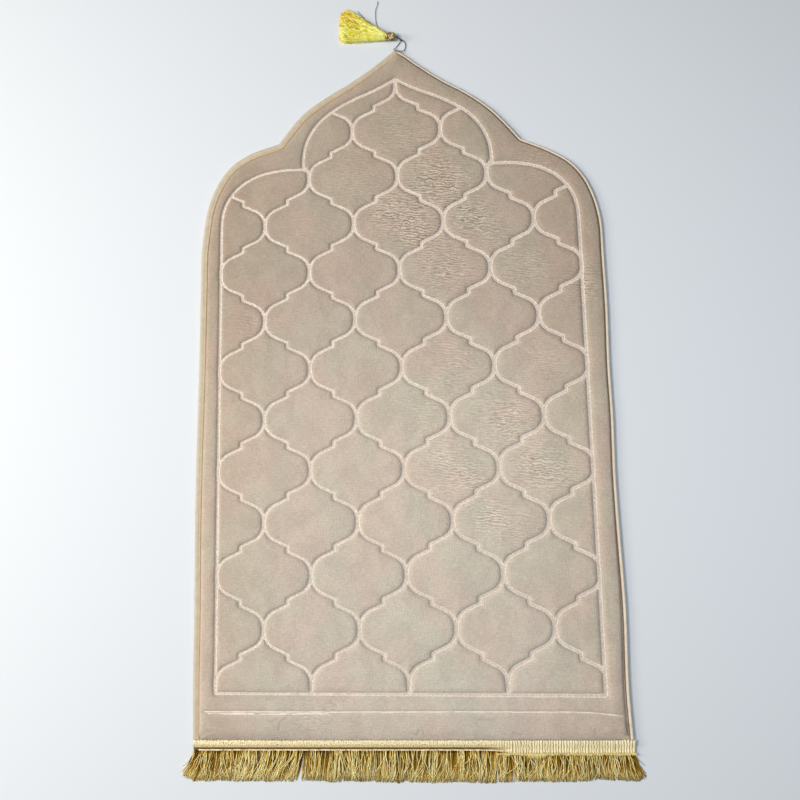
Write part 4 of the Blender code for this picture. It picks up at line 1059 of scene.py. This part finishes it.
paths, dyes, fan = skirt_strands()
lemon = rayon_material("lemon rayon yarn", "#9C7C08", "#FCE61E", "#FFFC7C", "#FFFFA0", "#FFF384", 0.34)
skirt = strand_piece("tassel_skirt", paths, SKIRT_STRAND_RADIUS, 1.0, lemon, "tassel_yarn", dyes)
far = np.linspace(0, 1, SKIRT_STATIONS)[None]
aged = np.clip((fan[:, None] - 0.45) / 0.25, 0, 1) * np.clip((far - 0.62) / 0.15, 0, 1) * rng.random((len(fan), 1))
paint(skirt, aged=each_point(0.5 * aged, SKIRT_STATIONS))
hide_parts("tassel")

# %% The neck, and the thread wound round it
# Along x, and the neck's radius there: from inside the skirt to its rounded right end.
NECK = (
    (-0.018, 0.0056), (-0.0155, 0.006), (-0.011, 0.0062), (-0.006, 0.0062),
    (-0.001, 0.0062), (0.0006, 0.0057), (0.0017, 0.004), (0.0023, 0.0015),
)
WOUND_FROM_X, WOUND_TO_X, WOUND_TURNS = -0.0142, -0.0002, 11
WOUND_AT_RADIUS, WOUND_RADIUS, WOUND_SIDES = 0.0064, 0.00062, 6

neck_x, neck_radii = np.array(NECK).T
neck_path = np.column_stack([neck_x, 0 * neck_x + TASSEL_Y, 0 * neck_x + NECK_HEIGHT])
points, faces = tubes(neck_path[None], neck_radii[None], 28)
neck = mesh_piece("tassel_neck", points, faces, lemon, "tassel_yarn", 60)
paint(neck, dye=np.where(points[:, 0] > -0.0012, 0.12, 0.35))
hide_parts("tassel")


def helix(left, right, radius, turns, per_turn=26):
    """A winding round the neck, from left to right."""
    count = int(turns * per_turn)
    angle = np.arange(count + 1) * 2 * math.pi / per_turn
    x = left + (right - left) * np.arange(count + 1) / count
    return np.column_stack([x, TASSEL_Y + radius * np.cos(angle), NECK_HEIGHT + radius * np.sin(angle)])


def winding_material():
    material, shader, add = new_material("brown and gold winding thread", Roughness=0.5, Sheen_Weight=0.1)
    place = add("CombineXYZ", add("Attribute", attribute_name="along_mm"))
    patch = add("TexNoise", place, Scale=0.16, Detail=2)
    colour = add("ValToRGB", patch, stops=((0.45, "#3E2E0E"), (0.5, "#9C7E36"), (0.55, "#FFF0B4")))
    twist = add("TexWave", place, Scale=0.5)
    fill(shader, Base_Color=colour, Normal=add("Bump", Strength=0.4, Distance=0.0002, Height=twist))
    return material


winding_path = helix(WOUND_FROM_X, WOUND_TO_X, WOUND_AT_RADIUS, WOUND_TURNS)
points, faces = tubes(winding_path[None], np.full((1, len(winding_path)), WOUND_RADIUS), WOUND_SIDES)
winding = mesh_piece("neck_winding", points, faces, winding_material(), "wound_thread")
wound = length_so_far(winding_path)
paint(winding, along_mm=np.repeat(wound * 1000, WOUND_SIDES))
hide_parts("tassel_wrap")
print("winding:", round(wound[-1], 3), "m of thread")

# %% [markdown]
# ## Threads
#
# The shank comes out of the head, ends in a knot, and carries the loop that holds the rug's tip. The two cut ends
# of the winding thread lie loose on the floor. Each thread is a curve with a round bevel, so that its length is the
# length of its line.

# %% Threads
SHANK_RADIUS, LOOP_RADIUS, END_RADIUS = 0.0008, 0.0006, 0.0004
SHANK_ROUTE = (
    (0.0027, 0.5755, 0.0068), (0.006, 0.5748, 0.0056), (0.0095, 0.573, 0.0028), (0.0115, 0.5717, 0.002),
    (0.0139, 0.5702, 0.0019),
)
LOOP_ROUTE = (
    (0.0115, 0.5692, 0.0018), (0.0084, 0.5645, 0.0008), (0.0048, 0.56, 0.0008), (0.0012, 0.5554, 0.0022),
    (-0.0004, 0.5515, 0.0066), (0.0016, 0.5488, 0.0071), (0.0056, 0.548, 0.0071), (0.0096, 0.5474, 0.0071),
    (0.0136, 0.5484, 0.006), (0.017, 0.552, 0.0016), (0.0192, 0.558, 0.0008), (0.0196, 0.5635, 0.0008),
    (0.018, 0.5678, 0.0012), (0.0144, 0.57, 0.0018),
)
END_SIDE_ROUTE = (
    (-0.0155, 0.5828, 0.0066), (-0.0195, 0.5864, 0.005), (-0.0245, 0.5896, 0.0034), (-0.03, 0.5936, 0.0018),
    (-0.0357, 0.5994, 0.0006), (-0.0434, 0.6072, 0.0006), (-0.0492, 0.6139, 0.0006), (-0.0545, 0.6204, 0.0006),
    (-0.0588, 0.6255, 0.0006), (-0.0607, 0.6289, 0.0006),
)
END_UP_ROUTE = (
    (-0.019, 0.5872, 0.0046), (-0.022, 0.5905, 0.0024), (-0.0258, 0.5952, 0.0006), (-0.0284, 0.6017, 0.0006),
    (-0.0302, 0.6102, 0.0006), (-0.0304, 0.6209, 0.0006), (-0.0299, 0.6305, 0.0006), (-0.028, 0.6357, 0.0006),
    (-0.0265, 0.641, 0.0006), (-0.0262, 0.646, 0.0006),
)


def thread_material():
    material, shader, add = new_material("spun polyester thread", Roughness=0.7, Sheen_Weight=0.2)
    fibre = add("TexNoise", add("TexCoord", out="Object"), Scale=900, Detail=3)
    colour = add("ValToRGB", fibre, stops=((0.35, "#2E3431"), (0.7, "#5A625C")))
    fill(shader, Base_Color=colour, Normal=add("Bump", Strength=0.5, Distance=0.0002, Height=fibre))
    return material


dark_thread = thread_material()


def thread(name, route, radius, node, swell=lambda share: 1):
    """A thread along a smooth route, and its length."""
    line = smooth_curve(route, 0.0012)
    curve = bpy.data.curves.new(name, "CURVE")
    curve.dimensions = "3D"
    curve.bevel_depth = radius
    curve.bevel_resolution = 3
    curve.use_fill_caps = True
    spline = curve.splines.new("POLY")
    spline.points.add(len(line) - 1)
    for i, (point, place) in enumerate(zip(spline.points, line)):
        point.co = (*place, 1)
        point.radius = swell(i / (len(line) - 1))
    curve.materials.append(dark_thread)
    obj = placed(name, curve)
    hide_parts(node)
    length = float(np.linalg.norm(np.diff(line, axis=0), axis=1).sum())
    print(name, round(length * 1000, 1), "mm")
    return obj, length


def knot_swell(share):
    """A slim shank that ends in a round knot."""
    knot = max(0.0, (share - 0.62) / 0.38)
    return 1 + 1.2 * math.sqrt(math.sin(math.pi * min(knot, 0.97)))


thread("shank_knot", SHANK_ROUTE, SHANK_RADIUS, "tassel_knot", knot_swell)
loop, length = thread("tie_loop", LOOP_ROUTE, LOOP_RADIUS, "hanging_loop")
ends = {"end_by_skirt": (END_SIDE_ROUTE, "thread_end_side"), "end_upwards": (END_UP_ROUTE, "thread_end_up")}
for name, (route, node) in ends.items():
    end, length = thread(name, route, END_RADIUS, node)

# %% [markdown]
# ## Floor and light
#
# The rug lies on a plain pale floor. One soft box stands high on the left, like a window, so the floor fades to the
# right. A second, low and far off, grazes the pile and draws out the shadow along the right edge. A weak bluish one
# over that edge keeps the shadow from going black, as the sky would.

# %% Floor, lights and sky
bpy.ops.mesh.primitive_plane_add(size=1)
floor = bpy.context.object
floor.name = "floor"
floor.scale = (8, 8, 1)
floor.location.z = -0.0002  # a hair under the rug, so that no two faces share one plane
floor.data.materials.append(new_material("matt pale floor", Roughness=0.8, Base_Color="#DCE0E4")[0])


def soft_box(name, place, target, size, watts, colour):
    light = bpy.data.lights.new(name, "AREA")
    light.shape, light.size, light.energy, light.color = "SQUARE", size, watts, linear(colour)[:3]
    obj = bpy.data.objects.new(name, light)
    obj.location = place
    obj.rotation_euler = (Vector(target) - Vector(place)).to_track_quat("-Z", "Y").to_euler()
    bpy.context.scene.collection.objects.link(obj)


soft_box("window", (-1.6, 0.0, 2.0), (0.0, 0.0, 0.0), 0.9, 51, "#FFFAF3")
soft_box("window_low", (-4.5, 0.6, 1.9), (0.0, 0.0, 0.0), 1.3, 112, "#FFFAF3")
soft_box("fill", (0.6, -0.1, 1.3), (0.6, -0.1, 0.0), 0.6, 4.6, "#ECF2FC")
world = bpy.data.worlds.new("studio")
world.use_nodes = True
fill(world.node_tree.nodes["Background"], "#D2E2F2", 0.22)
bpy.context.scene.world = world
bpy.context.scene.view_settings.view_transform = "Standard"
